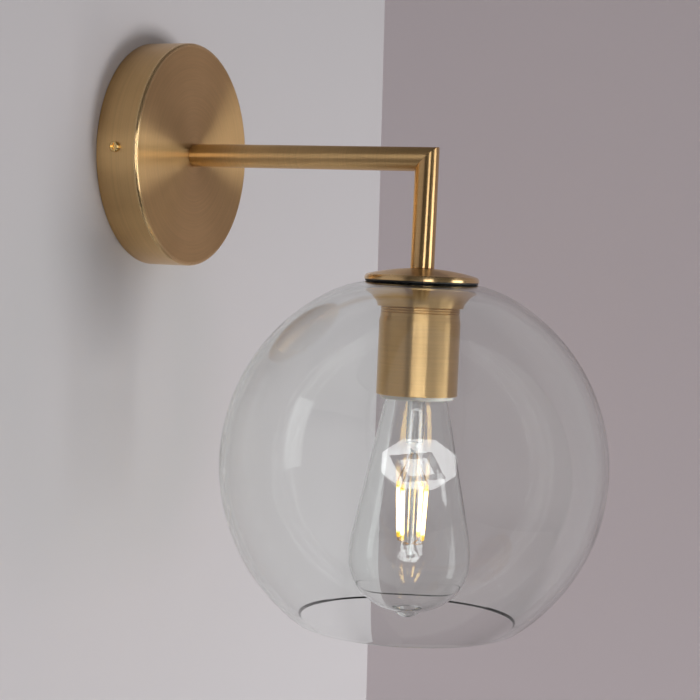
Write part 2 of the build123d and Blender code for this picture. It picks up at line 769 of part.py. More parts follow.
with BuildPart() as globe_glass:
    with BuildSketch(lamp_section):
        with BuildLine():
            outer_crown = ThreePointArc(
                (globe_hole_r, crown_height(crown_radius, globe_hole_r)),
                crown_point(crown_radius, crown_mid_angle),
                (crown_tangent_r, globe_centre + crown_tangent_rise),
            )
            outer_sphere = ThreePointArc(
                outer_crown @ 1, (globe_radius, globe_centre), (globe_mouth_r, mouth_level)
            )
            mouth = Line(outer_sphere @ 1, (mouth_inner_r, mouth_level))
            inner_sphere = ThreePointArc(
                mouth @ 1,
                (inner_globe_radius, globe_centre),
                (inner_tangent_r, globe_centre + inner_tangent_rise),
            )
            inner_crown_arc = ThreePointArc(
                inner_sphere @ 1,
                crown_point(inner_crown_radius, crown_mid_angle),
                (globe_hole_r, crown_height(inner_crown_radius, globe_hole_r)),
            )
            Line(inner_crown_arc @ 1, outer_crown @ 0)
        make_face()
    revolve(axis=lamp_axis)
    mouth_edges = globe_glass.edges().filter_by(GeomType.CIRCLE).group_by(Axis.Z)[0]
    fillet(mouth_edges, glass_polish_radius)
globe_glass.part.label = "globe_glass"
export_step(globe_glass.part, "parts/globe_glass.step")

# Soft ring between the glass and the shade ring, curved on top like the glass.
with BuildPart() as lower_gasket:
    with BuildSketch(lamp_section):
        with BuildLine():
            gasket_mid_r = (gasket_in_r + gasket_out_r) / 2
            top_arc = ThreePointArc(
                (gasket_in_r, crown_height(inner_crown_radius, gasket_in_r)),
                (gasket_mid_r, crown_height(inner_crown_radius, gasket_mid_r)),
                (gasket_out_r, crown_height(inner_crown_radius, gasket_out_r)),
            )
            Polyline(top_arc @ 1, (gasket_out_r, ring_seat_out), (gasket_in_r, ring_seat_in), top_arc @ 0)
        make_face()
    revolve(axis=lamp_axis)
lower_gasket.part.label = "lower_gasket"
export_step(lower_gasket.part, "parts/lower_gasket.step")

# Turned ring with a hollow flare outside and a tapered seat on top.
flare_angle = atan2(ring_lip_under - ring_bottom, ring_top_r - ring_bottom_r)
flare_mid = (
    (ring_top_r + ring_bottom_r) / 2 - ring_flare_sag * sin(flare_angle),
    (ring_lip_under + ring_bottom) / 2 + ring_flare_sag * cos(flare_angle),
)
with BuildPart() as shade_ring:
    with BuildSketch(lamp_section):
        with BuildLine():
            flare = ThreePointArc((ring_bottom_r, ring_bottom), flare_mid, (ring_top_r, ring_lip_under))
            Polyline(
                flare @ 1,
                (ring_top_r, ring_seat_out),
                (gasket_out_r, ring_seat_out),
                (gasket_in_r, ring_seat_in),
                (ring_bore_r, ring_seat_in),
                (ring_bore_r, ring_bottom),
                flare @ 0,
            )
        make_face()
    revolve(axis=lamp_axis)
shade_ring.part.label = "shade_ring"
export_step(shade_ring.part, "parts/shade_ring.step")

# ---------------------------------------------------------------- lamp cup and its fixing

with BuildPart() as cup_spacer:
    with BuildSketch(lamp_level(cup_top)):
        Circle(spacer_radius)
        Circle(passage_radius, mode=Mode.SUBTRACT)
    extrude(amount=spacer_thickness)
cup_spacer.part.label = "cup_spacer"
export_step(cup_spacer.part, "parts/cup_spacer.step")

# Turned cup: threaded neck above, short taper, plain skirt below, open at the bottom.
cup_radius = cup_diameter / 2
groove_half = neck_groove_width / 2
lowest_groove = neck_bottom + neck_plain_length + neck_groove_pitch / 2
groove_levels = [lowest_groove + index * neck_groove_pitch for index in range(neck_groove_count)]
with BuildPart() as lamp_cup:
    with BuildSketch(lamp_section):
        with BuildLine():
            Polyline(
                (passage_radius, cup_top),
                (neck_radius, cup_top),
                (neck_radius, neck_bottom),
                (cup_radius, neck_bottom - neck_taper),
                (cup_radius, cup_bottom),
                (cup_bore_r, cup_bottom),
                (cup_bore_r, cup_under),
                (passage_radius, cup_under),
                close=True,
            )
        make_face()
        for level in groove_levels:
            with BuildLine():
                Polyline(
                    (neck_radius, level - groove_half),
                    (neck_radius - neck_groove_depth, level),
                    (neck_radius, level + groove_half),
                    close=True,
                )
            make_face(mode=Mode.SUBTRACT)
    revolve(axis=lamp_axis)
    top_edge = lamp_cup.edges().filter_by(GeomType.CIRCLE).group_by(Axis.Z)[-1].sort_by(SortBy.RADIUS)[-1]
    fillet(top_edge, cup_edge_radius)
lamp_cup.part.label = "lamp_cup"
export_step(lamp_cup.part, "parts/lamp_cup.step")

with BuildPart() as cup_nipple:
    with BuildSketch(lamp_level(cup_nipple_end)):
        Circle(nipple_radius)
        Circle(nipple_bore / 2, mode=Mode.SUBTRACT)
    extrude(amount=-drop_length + tapped_depth - hole_clearance - cup_nipple_end)
cup_nipple.part.label = "cup_nipple"
export_step(cup_nipple.part, "parts/cup_nipple.step")

with BuildPart() as cup_washer:
    with BuildSketch(lamp_level(cup_washer_under)):
        Circle(washer_diameter / 2)
        Circle(passage_radius, mode=Mode.SUBTRACT)
        with PolarLocations(washer_diameter / 2, washer_notch_count):
            Rectangle(washer_notch_width, washer_notch_width, mode=Mode.SUBTRACT)
    extrude(amount=washer_thickness)
cup_washer.part.label = "cup_washer"
export_step(cup_washer.part, "parts/cup_washer.step")

with BuildPart() as cup_locknut:
    with BuildSketch(lamp_level(cup_nut_under)):
        RegularPolygon(locknut_across_flats / 2, 6, major_radius=False)
        Circle(tapped_radius, mode=Mode.SUBTRACT)
    extrude(amount=locknut_thickness)
cup_locknut.part.label = "cup_locknut"
export_step(cup_locknut.part, "parts/cup_locknut.step")

# ---------------------------------------------------------------- lampholder

# Folded steel bridge: tapped crown on the nipple, feet on the porcelain.
bridge_inner_bend = bridge_bend_radius - bridge_thickness / 2
bridge_screw_head_r = bridge_screw_head_diameter / 2
bridge_inside = bridge_half_span - bridge_thickness
bridge_screw_r = bridge_inside - bridge_inner_bend - bridge_screw_head_r - hole_clearance
foot_tip = bridge_screw_r - bridge_screw_head_r
foot_middle = holder_top + bridge_thickness / 2
foot_top = holder_top + bridge_thickness
bridge_section = Plane.YZ.offset(-bridge_width / 2)
with BuildPart() as holder_bridge:
    with BuildSketch(bridge_section):
        with BuildLine():
            leg = bridge_half_span - bridge_thickness / 2
            FilletPolyline(
                (-arm_reach - foot_tip, foot_middle),
                (-arm_reach - leg, foot_middle),
                (-arm_reach - leg, bridge_top - bridge_thickness / 2),
                (-arm_reach + leg, bridge_top - bridge_thickness / 2),
                (-arm_reach + leg, foot_middle),
                (-arm_reach + foot_tip, foot_middle),
                radius=bridge_bend_radius,
            )
        trace(line_width=bridge_thickness)
    extrude(amount=bridge_width)
    with BuildSketch(lamp_level(bridge_top)):
        Circle(tapped_radius)
    extrude(amount=-bridge_thickness, mode=Mode.SUBTRACT)
    with BuildSketch(lamp_level(foot_top)):
        with Locations((0, -bridge_screw_r), (0, bridge_screw_r)):
            Circle(bridge_screw_diameter / 2 + hole_clearance)
    extrude(amount=-bridge_thickness, mode=Mode.SUBTRACT)
holder_bridge.part.label = "holder_bridge"
export_step(holder_bridge.part, "parts/holder_bridge.step")

with BuildPart() as bridge_screws:
    with BuildSketch(lamp_level(foot_top)):
        with Locations((0, -bridge_screw_r), (0, bridge_screw_r)):
            Circle(bridge_screw_head_r)
    extrude(amount=bridge_screw_head_height)
    with BuildSketch(lamp_level(foot_top)):
        with Locations((0, -bridge_screw_r), (0, bridge_screw_r)):
            Circle(bridge_screw_diameter / 2)
    extrude(amount=-bridge_screw_length)
    with BuildSketch(lamp_level(foot_top + bridge_screw_head_height)):
        with Locations((0, -bridge_screw_r), (0, bridge_screw_r)):
            Rectangle(recess_length, recess_width)
    extrude(amount=-recess_depth / 2, mode=Mode.SUBTRACT)
bridge_screws.part.label = "bridge_screws"
export_step(bridge_screws.part, "parts/bridge_screws.step")

# Glazed porcelain body: solid deck on top, bore for the threaded shell, wider mouth for the bulb's neck.
with BuildPart() as holder_porcelain:
    with BuildSketch(lamp_section):
        with BuildLine():
            Polyline(
                (0, holder_top),
                (holder_radius, holder_top),
                (holder_radius, holder_bottom),
                (holder_mouth_diameter / 2, holder_bottom),
                (holder_mouth_diameter / 2, mouth_shoulder),
                (shell_bore_r, mouth_shoulder),
                (shell_bore_r, deck_under),
                (0, deck_under),
                close=True,
            )
        make_face()
    revolve(axis=lamp_axis)
    rim_edges = holder_porcelain.edges().filter_by(GeomType.CIRCLE).group_by(Axis.Z)
    fillet(rim_edges[0] + rim_edges[-1], holder_edge_radius)
    with BuildSketch(lamp_level(holder_top)):
        with Locations((0, -bridge_screw_r), (0, bridge_screw_r)):
            Circle(bridge_screw_diameter / 2 + thread_clearance)
    extrude(amount=-(bridge_screw_length - bridge_thickness + bridge_screw_run_out), mode=Mode.SUBTRACT)
holder_porcelain.part.label = "holder_porcelain"
export_step(holder_porcelain.part, "parts/holder_porcelain.step")

# Rolled brass shell with rounded thread rings and a flange on the deck.
shell_root_r = shell_out_r - shell_thread_depth
shell_thread_top = shell_top - shell_thread_start
shell_points = [(shell_flange_bore / 2, deck_under), (shell_out_r + shell_sheet, deck_under)]
shell_inner = [(shell_flange_bore / 2, shell_top), (shell_out_r, shell_top)]
for turn in range(shell_turns):
    ring_level = shell_thread_top - turn * shell_pitch
    valley = shell_thread_top - (turn + 0.5) * shell_pitch
    shell_points += [(shell_out_r + shell_sheet, ring_level), (shell_root_r + shell_sheet, valley)]
    shell_inner += [(shell_out_r, ring_level), (shell_root_r, valley)]
shell_end = shell_thread_top - shell_turns * shell_pitch
with BuildPart() as thread_shell:
    with BuildSketch(lamp_section):
        with BuildLine():
            Polyline(
                *shell_points,
                (shell_out_r + shell_sheet, shell_end),
                (shell_out_r, shell_end),
                *reversed(shell_inner),
                close=True,
            )
        make_face()
    revolve(axis=lamp_axis)
thread_shell.part.label = "thread_shell"
export_step(thread_shell.part, "parts/thread_shell.step")

# Sprung strip, riveted flat to the deck at one end, with a raised pad for the bulb's tip.
contact_top = deck_under - contact_sheet / 2
contact_pad = contact_top - contact_rise
with BuildPart() as centre_contact:
    with BuildSketch(Plane.XZ.offset(arm_reach - contact_width / 2)):
        with BuildLine():
            Polyline(
                (-contact_span - contact_foot, contact_top),
                (-contact_span, contact_top),
                (-contact_span / 2, contact_pad),
                (contact_span / 2, contact_pad),
                (contact_span, contact_top - contact_sheet),
            )
        trace(line_width=contact_sheet)
    extrude(amount=contact_width)
centre_contact.part.label = "centre_contact"
export_step(centre_contact.part, "parts/centre_contact.step")

# Brass posts on the deck: each takes a lead from above and clamps it with a side screw.
post_middle = holder_top + post_height / 2
with BuildPart() as lead_posts:
    with BuildSketch(lamp_level(holder_top)):
        with Locations((-post_offset, -lead_offset), (post_offset, -lead_offset)):
            Circle(post_diameter / 2)
    extrude(amount=post_height)
    with BuildSketch(lamp_level(post_top)):
        with Locations((-post_offset, -lead_offset), (post_offset, -lead_offset)):
            Circle(post_bore / 2)
    extrude(amount=-(post_height - post_floor), mode=Mode.SUBTRACT)
    with BuildSketch(Plane.XZ.offset(arm_reach + lead_offset)):
        with Locations((-post_offset, post_middle), (post_offset, post_middle)):
            Circle(post_screw_diameter / 2 + thread_clearance)
    extrude(amount=post_diameter, mode=Mode.SUBTRACT)
lead_posts.part.label = "lead_posts"
export_step(lead_posts.part, "parts/lead_posts.step")

with BuildPart() as post_screws:
    with BuildSketch(Plane.XZ.offset(arm_reach + lead_offset + lead_radius)):
        with Locations((-post_offset, post_middle), (post_offset, post_middle)):
            Circle(post_screw_diameter / 2)
    extrude(amount=post_screw_length)
post_screws.part.label = "post_screws"
export_step(post_screws.part, "parts/post_screws.step")

# ---------------------------------------------------------------- bulb

# Pear-shaped envelope: taper, belly arc, shoulder arc and end arc run tangent into each other.
taper = radians(bulb_taper_angle)
belly_centre_r = bulb_radius - bulb_belly_radius
end_turn = radians(end_half_angle)


def bow(start, end, share_out, share_down):
    """Point that a curve from start to end passes through, at these shares of the way."""
    return (start[0] + (end[0] - start[0]) * share_out, start[1] + (end[1] - start[1]) * share_down)


def envelope(inset):
    """Radii and heights where the taper, belly, shoulder and end arcs of one face meet."""
    belly = bulb_belly_radius - inset
    shoulder = bulb_shoulder_radius - inset
    end = bulb_end_radius - inset
    taper_end = (belly_centre_r + belly * cos(taper), belly_level + belly * sin(taper))
    belly_mid = (belly_centre_r + belly * cos(taper / 2), belly_level + belly * sin(taper / 2))
    widest = (bulb_radius - inset, belly_level)
    shoulder_turn = (radians(90) - end_turn) / 2
    shoulder_mid = (
        shoulder_centre_r + shoulder * cos(shoulder_turn),
        belly_level - shoulder * sin(shoulder_turn),
    )
    shoulder_end = (end * sin(end_turn), end_centre - end * cos(end_turn))
    end_mid = (end * sin(end_turn / 2), end_centre - end * cos(end_turn / 2))
    end_tip = (0, end_centre - end)
    neck = (neck_r - inset, taper_end[1] + (taper_end[0] - neck_r + inset) / (sin(taper) / cos(taper)))
    return neck, taper_end, belly_mid, widest, shoulder_mid, shoulder_end, end_mid, end_tip


neck_top_level = bulb_cap_bottom + bulb_seal_depth
outer = envelope(0)
inner = envelope(bulb_wall)
nub_r = bulb_nub_diameter / 2
nub_rim = end_centre - sqrt(bulb_end_radius**2 - nub_r**2)
nub_bottom = end_centre - bulb_end_radius - bulb_nub_height
with BuildPart() as bulb_glass:
    with BuildSketch(lamp_section):
        with BuildLine():
            outer_line = Line((seal_r, neck_top_level), (seal_r, bulb_cap_bottom))
            ThreePointArc(outer_line @ 1, bow((seal_r, bulb_cap_bottom), outer[0], 0.68, 0.36), outer[0])
            Line(outer[0], outer[1])
            ThreePointArc(outer[1], outer[2], outer[3])
            ThreePointArc(outer[3], outer[4], outer[5])
            ThreePointArc(outer[5], outer[6], outer[7])
            Line(outer[7], inner[7])
            ThreePointArc(inner[7], inner[6], inner[5])
            ThreePointArc(inner[5], inner[4], inner[3])
            ThreePointArc(inner[3], inner[2], inner[1])
            Line(inner[1], inner[0])
            inner_start = (seal_r - bulb_wall, bulb_cap_bottom)
            ThreePointArc(inner[0], bow(inner_start, inner[0], 0.68, 0.36), inner_start)
            Line(inner_start, (seal_r - bulb_wall, neck_top_level))
            Line((seal_r - bulb_wall, neck_top_level), (seal_r, neck_top_level))
        make_face()
        with BuildLine():
            nub_arc = ThreePointArc(
                (0, nub_bottom),
                (nub_r * 0.62, nub_bottom + bulb_nub_height * 0.28),
                (nub_r, nub_rim),
            )
            Line(nub_arc @ 1, (0, nub_rim))
            Line((0, nub_rim), nub_arc @ 0)
        make_face()
    revolve(axis=lamp_axis)
bulb_glass.part.label = "bulb_glass"
export_step(bulb_glass.part, "parts/bulb_glass.step")

# Threaded cap: a nose cone, rolled thread rings and a plain skirt round the glass.
cap_points = [(bulb_insulator_diameter / 2, bulb_thread_top + bulb_cap_nose_lip)]
for turn in range(bulb_cap_turns):
    root_level = bulb_thread_top - turn * bulb_cap_pitch
    cap_points += [(bulb_cap_root_r, root_level), (bulb_cap_crest_r, root_level - bulb_cap_pitch / 2)]
cap_points += [
    (bulb_cap_root_r, bulb_thread_bottom),
    (bulb_cap_crest_r, bulb_thread_bottom - bulb_cap_last_crest),
]
with BuildPart() as bulb_cap:
    with BuildSketch(lamp_section):
        with BuildLine():
            Polyline(
                *cap_points,
                (bulb_cap_crest_r, bulb_cap_bottom),
                (bulb_cap_bore / 2, bulb_cap_bottom),
                (bulb_cap_bore / 2, bulb_thread_top),
                (bulb_insulator_diameter / 2, bulb_thread_top),
                close=True,
            )
        make_face()
    revolve(axis=lamp_axis)
bulb_cap.part.label = "bulb_cap"
export_step(bulb_cap.part, "parts/bulb_cap.step")

insulator_top = bulb_tip - bulb_tip_height
driver_top = bulb_thread_top - bulb_insulator_skirt
with BuildPart() as bulb_insulator:
    with BuildSketch(lamp_section):
        with BuildLine():
            Polyline(
                (0, insulator_top),
                (bulb_tip_diameter / 2 + bulb_tip_margin, insulator_top),
                (bulb_insulator_diameter / 2, bulb_thread_top + bulb_cap_nose_lip),
                (bulb_insulator_diameter / 2, bulb_thread_top),
                (bulb_cap_bore / 2, bulb_thread_top),
                (bulb_cap_bore / 2, driver_top),
                (0, driver_top),
                close=True,
            )
        make_face()
    revolve(axis=lamp_axis)
bulb_insulator.part.label = "bulb_insulator"
export_step(bulb_insulator.part, "parts/bulb_insulator.step")

with BuildPart() as bulb_tip_contact:
    with BuildSketch(lamp_section):
        with BuildLine():
            tip_arc = ThreePointArc(
                (0, bulb_tip),
                (bulb_tip_diameter * 0.3, bulb_tip - bulb_tip_height * 0.3),
                (bulb_tip_diameter / 2, insulator_top),
            )
            Line(tip_arc @ 1, (0, insulator_top))
            Line((0, insulator_top), tip_arc @ 0)
        make_face()
    revolve(axis=lamp_axis)
bulb_tip_contact.part.label = "bulb_tip_contact"
export_step(bulb_tip_contact.part, "parts/bulb_tip_contact.step")

# Small rectifier board standing in the cap.
with BuildPart() as bulb_driver:
    with BuildSketch(lamp_level(driver_top)):
        Rectangle(driver_width, driver_board)
    extrude(amount=-driver_height)
    with BuildSketch(lamp_level(driver_top - driver_height / 2)):
        with Locations((-driver_width / 5, -(driver_board + driver_chip) / 2)):
            Rectangle(driver_chip, driver_chip)
        with Locations((driver_width / 5, (driver_board + driver_chip) / 2)):
            Circle(driver_chip / 2)
    extrude(amount=driver_chip)
bulb_driver.part.label = "bulb_driver"
export_step(bulb_driver.part, "parts/bulb_driver.step")

# Stem: a flare sealed to the neck, a tube, the flattened press and the long glass rod.
stem_seat_r = seal_r - bulb_wall - thread_clearance
stem_tube_r = stem_tube_diameter / 2
stem_flare_end = neck_top_level - stem_flare_length
press_top = stem_flare_end - stem_tube_length
press_bottom = press_top - press_height
with BuildPart() as bulb_stem:
    with BuildSketch(lamp_section):
        with BuildLine():
            flare_start = (stem_seat_r, neck_top_level)
            flare_end = (stem_tube_r, stem_flare_end)
            flare_arc = ThreePointArc(flare_start, bow(flare_end, flare_start, 0.3, 0.4), flare_end)
            bore_end = (stem_tube_r - stem_wall, stem_flare_end)
            Polyline(flare_end, (stem_tube_r, press_top), (stem_tube_r - stem_wall, press_top), bore_end)
            bore_start = (stem_seat_r - stem_wall, neck_top_level)
            inner_flare = ThreePointArc(bore_end, bow(bore_end, bore_start, 0.3, 0.4), bore_start)
            Line(inner_flare @ 1, flare_arc @ 0)
        make_face()
    revolve(axis=lamp_axis)
    with BuildSketch(lamp_level(press_top)):
        Circle(stem_tube_r)
    with BuildSketch(lamp_level(press_bottom)):
        RectangleRounded(press_width, press_thickness, press_corner_radius)
    loft()
    with BuildSketch(lamp_level(press_bottom)):
        Circle(rod_diameter / 2)
    extrude(amount=-rod_length)
    fillet(bulb_stem.edges().group_by(Axis.Z)[0], rod_end_radius)
bulb_stem.part.label = "bulb_stem"
export_step(bulb_stem.part, "parts/bulb_stem.step")


def around(circle, angle, height):
    """Point on a circle round the lamp's axis."""
    return Vector(
        circle / 2 * cos(radians(angle)), -arm_reach + circle / 2 * sin(radians(angle)), height
    )


# Filament sticks, a little closer together at the bottom.
filament_top = holder_bottom - filament_drop
filament_bottom = filament_top - filament_length
filament_angles = [filament_turn + index * 360 / filament_count for index in range(filament_count)]
with BuildPart() as bulb_filaments:
    for angle in filament_angles:
        top = around(filament_top_circle, angle, filament_top)
        bottom = around(filament_bottom_circle, angle, filament_bottom)
        with BuildSketch(Plane(origin=top, z_dir=bottom - top)):
            Circle(filament_diameter / 2)
        extrude(amount=(bottom - top).length)
bulb_filaments.part.label = "bulb_filaments"
export_step(bulb_filaments.part, "parts/bulb_filaments.step")

# Wires: from the press out to each filament's top, and from the rod out to each filament's foot.
anchor_level = filament_bottom - anchor_drop
with BuildPart() as bulb_wires:
    for angle in filament_angles:
        top = around(filament_top_circle, angle, filament_top)
        bottom = around(filament_bottom_circle, angle, filament_bottom)
        press_side = around(press_thickness + wire_diameter, angle, press_bottom - wire_diameter)
        rod_side = around(rod_diameter + wire_diameter, angle, anchor_level)
        for start, end in ((press_side, top), (rod_side, bottom)):
            with BuildSketch(Plane(origin=start, z_dir=end - start)):
                Circle(wire_diameter / 2)
            extrude(amount=(end - start).length - wire_diameter)
bulb_wires.part.label = "bulb_wires"
export_step(bulb_wires.part, "parts/bulb_wires.step")
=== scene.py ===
"""Looks of the globe wall sconce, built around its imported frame.

Sizes in the pieces' classes are in millimetres, as on a workshop drawing, and the room's are in metres.
Levels are read from the frame's own boxes, so each piece sits where its solid sits. Meshes end up in
metres, with +Z up, the wall at y = 0 and the light standing out towards -Y.
"""

import json
import logging
import math
from abc import ABC, abstractmethod
from collections.abc import Sequence
from dataclasses import dataclass, field
from enum import Enum
from typing import Any, ClassVar

import bmesh
import bpy
from mathutils import Matrix, Vector


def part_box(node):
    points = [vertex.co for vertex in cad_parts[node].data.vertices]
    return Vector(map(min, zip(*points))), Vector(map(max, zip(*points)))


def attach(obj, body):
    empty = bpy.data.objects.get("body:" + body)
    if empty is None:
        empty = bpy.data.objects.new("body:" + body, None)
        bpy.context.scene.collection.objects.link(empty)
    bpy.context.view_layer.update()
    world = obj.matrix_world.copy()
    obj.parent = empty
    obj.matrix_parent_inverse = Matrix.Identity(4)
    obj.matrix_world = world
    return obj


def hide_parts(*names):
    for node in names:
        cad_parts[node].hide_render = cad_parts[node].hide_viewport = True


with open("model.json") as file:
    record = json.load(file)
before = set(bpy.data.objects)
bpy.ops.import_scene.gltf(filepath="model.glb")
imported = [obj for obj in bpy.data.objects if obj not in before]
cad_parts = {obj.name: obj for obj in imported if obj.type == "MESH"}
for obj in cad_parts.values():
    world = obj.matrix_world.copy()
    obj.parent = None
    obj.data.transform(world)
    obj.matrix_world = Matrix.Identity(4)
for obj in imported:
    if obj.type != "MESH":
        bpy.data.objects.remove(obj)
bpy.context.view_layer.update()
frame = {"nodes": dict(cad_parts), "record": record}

MM = 0.001
LAMP_Y = -160.0  # lamp's axis
LEAD_HOLE = 5.15  # radius of the hole that a threaded nipple passes through
WRAP = "wrap"  # UV map: u round the turned piece, v along its outline in metres
EDGE = "edge"  # vertex attribute: 1 on an exposed edge
GLOW = "glow"  # vertex attribute: 1 on the lit length of a filament

Colour = tuple[float, float, float]
Direction = tuple[float, float, float]
Spot = tuple[float, float, float]
Point = tuple[float, float]
Pair = tuple[float, float]
Stops = Sequence[tuple[float, Colour]]

log = logging.getLogger("sconce")


class Body(Enum):
    """Moving bodies of the frame."""

    FIXTURE = "fixture"
    SHADE = "shade"
    BULB = "bulb"


class Stand(Enum):
    """Where a finished mesh in millimetres stands."""

    AS_DRAWN = Matrix.Scale(MM, 4)
    LAMP = Matrix.Translation((0, LAMP_Y * MM, 0)) @ Matrix.Scale(MM, 4)
    WALL = Matrix.Rotation(math.radians(90), 4, "X") @ Matrix.Scale(MM, 4)


def low(node: str) -> float:
    """Lowest level of a frame node, in millimetres."""
    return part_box(node)[0].z / MM


def high(node: str) -> float:
    """Highest level of a frame node, in millimetres."""
    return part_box(node)[1].z / MM


# ---------------------------------------------------------------- meshes


class Outline:
    """A wire in the half plane of radius and height, spun into a skin of revolution."""

    def __init__(self, radius: float, height: float) -> None:
        """Starts the wire.

        Args:
            radius: distance of the first point from the axis.
            height: level of the first point.
        """
        self.mesh = bmesh.new()
        self.along = self.mesh.verts.layers.float.new("along")
        self.edge = self.mesh.verts.layers.float.new(EDGE)
        self.start = self.tip = self.mesh.verts.new((radius, 0.0, height))

    def _step(self, place: Vector) -> None:
        """Draws one straight step of the wire.

        Args:
            place: end of the step.
        """
        made = bmesh.ops.extrude_vert_indiv(self.mesh, verts=[self.tip])["verts"][0]
        made.co = place
        made[self.edge] = 0.0
        self.tip = made

    def to(self, radius: float, height: float, hold: float = 0.0) -> "Outline":
        """Draws a straight run.

        Args:
            radius: radius at its end.
            height: level at its end.
            hold: length of a short step at both ends, which keeps edge wear near the edge.

        Returns:
            The outline itself.
        """
        here, there = self.tip.co.copy(), Vector((radius, 0.0, height))
        way = there - here
        if hold and way.length > 2.5 * hold:
            self._step(here + way.normalized() * hold)
            self._step(there - way.normalized() * hold)
        self._step(there)
        return self

    def turn(self, centre: Point, degrees: float, pace: float, worn: bool = False) -> "Outline":
        """Draws an arc about a centre.

        Args:
            centre: radius and level of its centre.
            degrees: angle swept, clockwise with the axis on the left.
            pace: degrees in each step.
            worn: True on an exposed edge.

        Returns:
            The outline itself.
        """
        if worn:
            self.tip[self.edge] = 1.0
        swept = bmesh.ops.spin(
            self.mesh, geom=[self.tip], cent=(centre[0], 0.0, centre[1]), axis=(0, 1, 0),
            angle=math.radians(degrees), steps=max(3, math.ceil(abs(degrees) / pace)), use_duplicate=False,
        )
        self.tip = next(item for item in swept["geom_last"] if isinstance(item, bmesh.types.BMVert))
        return self

    def round_to(self, radius: float, height: float, bulge: float, steps: int) -> "Outline":
        """Draws a flat arc to a point.

        Args:
            radius: radius at its end.
            height: level at its end.
            bulge: sag of the arc, to the left of the way when positive.
            steps: number of steps.

        Returns:
            The outline itself.
        """
        here, there = self.tip.co.copy(), Vector((radius, 0.0, height))
        chord = there - here
        span = chord.length
        arc_radius = (span * span / 4 + bulge * bulge) / (2 * abs(bulge))
        side = Vector((-chord.z, 0.0, chord.x)).normalized() * (1 if bulge > 0 else -1)
        centre = (here + there) / 2 + side * (abs(bulge) - arc_radius)
        sweep = 2 * math.degrees(math.asin(min(1.0, span / 2 / arc_radius)))
        return self.turn((centre.x, centre.z), sweep if bulge > 0 else -sweep, pace=sweep / steps)

    def close(self) -> "Outline":
        """Draws the last run back to the first point."""
        return self.to(self.start.co.x, self.start.co.z)

    def _measure(self) -> None:
        """Writes each point's distance along the wire, in metres."""
        here, came, length = self.start, None, 0.0
        while True:
            here[self.along] = length * MM
            ahead = [edge for edge in here.link_edges if edge is not came]
            if not ahead:
                return
            came = ahead[0]
            length += came.calc_length()
            here = came.other_vert(here)

    def spin(self, steps: int) -> bmesh.types.BMesh:
        """Spins the wire round the axis.

        Args:
            steps: number of steps in the full turn.

        Returns:
            A closed mesh in millimetres, with its UV map.
        """
        self._measure()
        bmesh.ops.spin(
            self.mesh, geom=self.mesh.verts[:] + self.mesh.edges[:], cent=(0, 0, 0), axis=(0, 0, 1),
            angle=2 * math.pi, steps=steps, use_merge=True, use_duplicate=False,
        )
        uv = self.mesh.loops.layers.uv.new(WRAP)
        for face in self.mesh.faces:
            middle = face.calc_center_median()
            about = math.atan2(middle.y, middle.x)
            for loop in face.loops:
                place = loop.vert.co
                angle = about
                if math.hypot(place.x, place.y) > 1e-4:
                    angle = math.atan2(place.y, place.x)
                    angle += 2 * math.pi * round((about - angle) / (2 * math.pi))
                loop[uv].uv = (angle / (2 * math.pi), loop.vert[self.along])
        self.mesh.verts.layers.float.remove(self.along)
        return sealed(self.mesh)


def sealed(mesh: bmesh.types.BMesh, gap: float = 1e-4) -> bmesh.types.BMesh:
    """Merges a mesh's doubles and turns its faces outwards.

    Args:
        mesh: mesh in millimetres.
        gap: largest gap that is closed.

    Returns:
        The same mesh.
    """
    bmesh.ops.remove_doubles(mesh, verts=mesh.verts, dist=gap)
    bmesh.ops.recalc_face_normals(mesh, faces=mesh.faces)
    return mesh


def soften(mesh: bmesh.types.BMesh, edges: list[bmesh.types.BMEdge], width: float, segments: int) -> None:
    """Bevels some edges.

    Args:
        mesh: mesh in millimetres.
        edges: its edges to bevel.
        width: width of the bevel.
        segments: number of steps across it.
    """
    bmesh.ops.bevel(
        mesh, geom=edges, offset=width, offset_type="OFFSET", segments=segments, profile=0.5,
        affect="EDGES", material=-1,
    )


def written(mesh: bmesh.types.BMesh, name: str) -> bpy.types.Mesh:
    """Writes a mesh out as data and frees it.

    Args:
        mesh: the mesh.
        name: name of the data.

    Returns:
        The data.
    """
    data = bpy.data.meshes.new(name)
    mesh.to_mesh(data)
    mesh.free()
    return data


def add_mesh(target: bmesh.types.BMesh, extra: bmesh.types.BMesh) -> None:
    """Moves one mesh's faces into another and frees it.

    Args:
        target: mesh that receives the faces.
        extra: mesh that is emptied.
    """
    carrier = written(extra, "carrier")
    target.from_mesh(carrier)
    bpy.data.meshes.remove(carrier)


def in_scene(data: bpy.types.ID) -> bpy.types.Object:
    """Puts data in the scene as an object of the same name.

    Args:
        data: a mesh, curve, light or camera.

    Returns:
        The object.
    """
    thing = bpy.data.objects.new(data.name, data)
    bpy.context.scene.collection.objects.link(thing)
    return thing


def wire_run(points: list[Vector], radius: float) -> bmesh.types.BMesh:
    """Draws a round wire along a smooth run.

    Args:
        points: control points in millimetres.
        radius: radius of the wire.

    Returns:
        A closed mesh in millimetres.
    """
    curve = bpy.data.curves.new("wire_run", "CURVE")
    curve.dimensions = "3D"
    curve.bevel_depth = radius
    curve.bevel_resolution = 2
    curve.resolution_u = 6
    curve.use_fill_caps = True
    spline = curve.splines.new("NURBS")
    spline.points.add(len(points) - 1)
    for point, place in zip(spline.points, points):
        point.co = (*place, 1.0)
    spline.use_endpoint_u = True
    spline.order_u = 3
    holder = in_scene(curve)
    data = bpy.data.meshes.new_from_object(holder.evaluated_get(bpy.context.evaluated_depsgraph_get()))
    mesh = bmesh.new()
    mesh.from_mesh(data)
    bpy.data.objects.remove(holder)
    bpy.data.curves.remove(curve)
    bpy.data.meshes.remove(data)
    return sealed(mesh)


# ---------------------------------------------------------------- node benches and shared effects


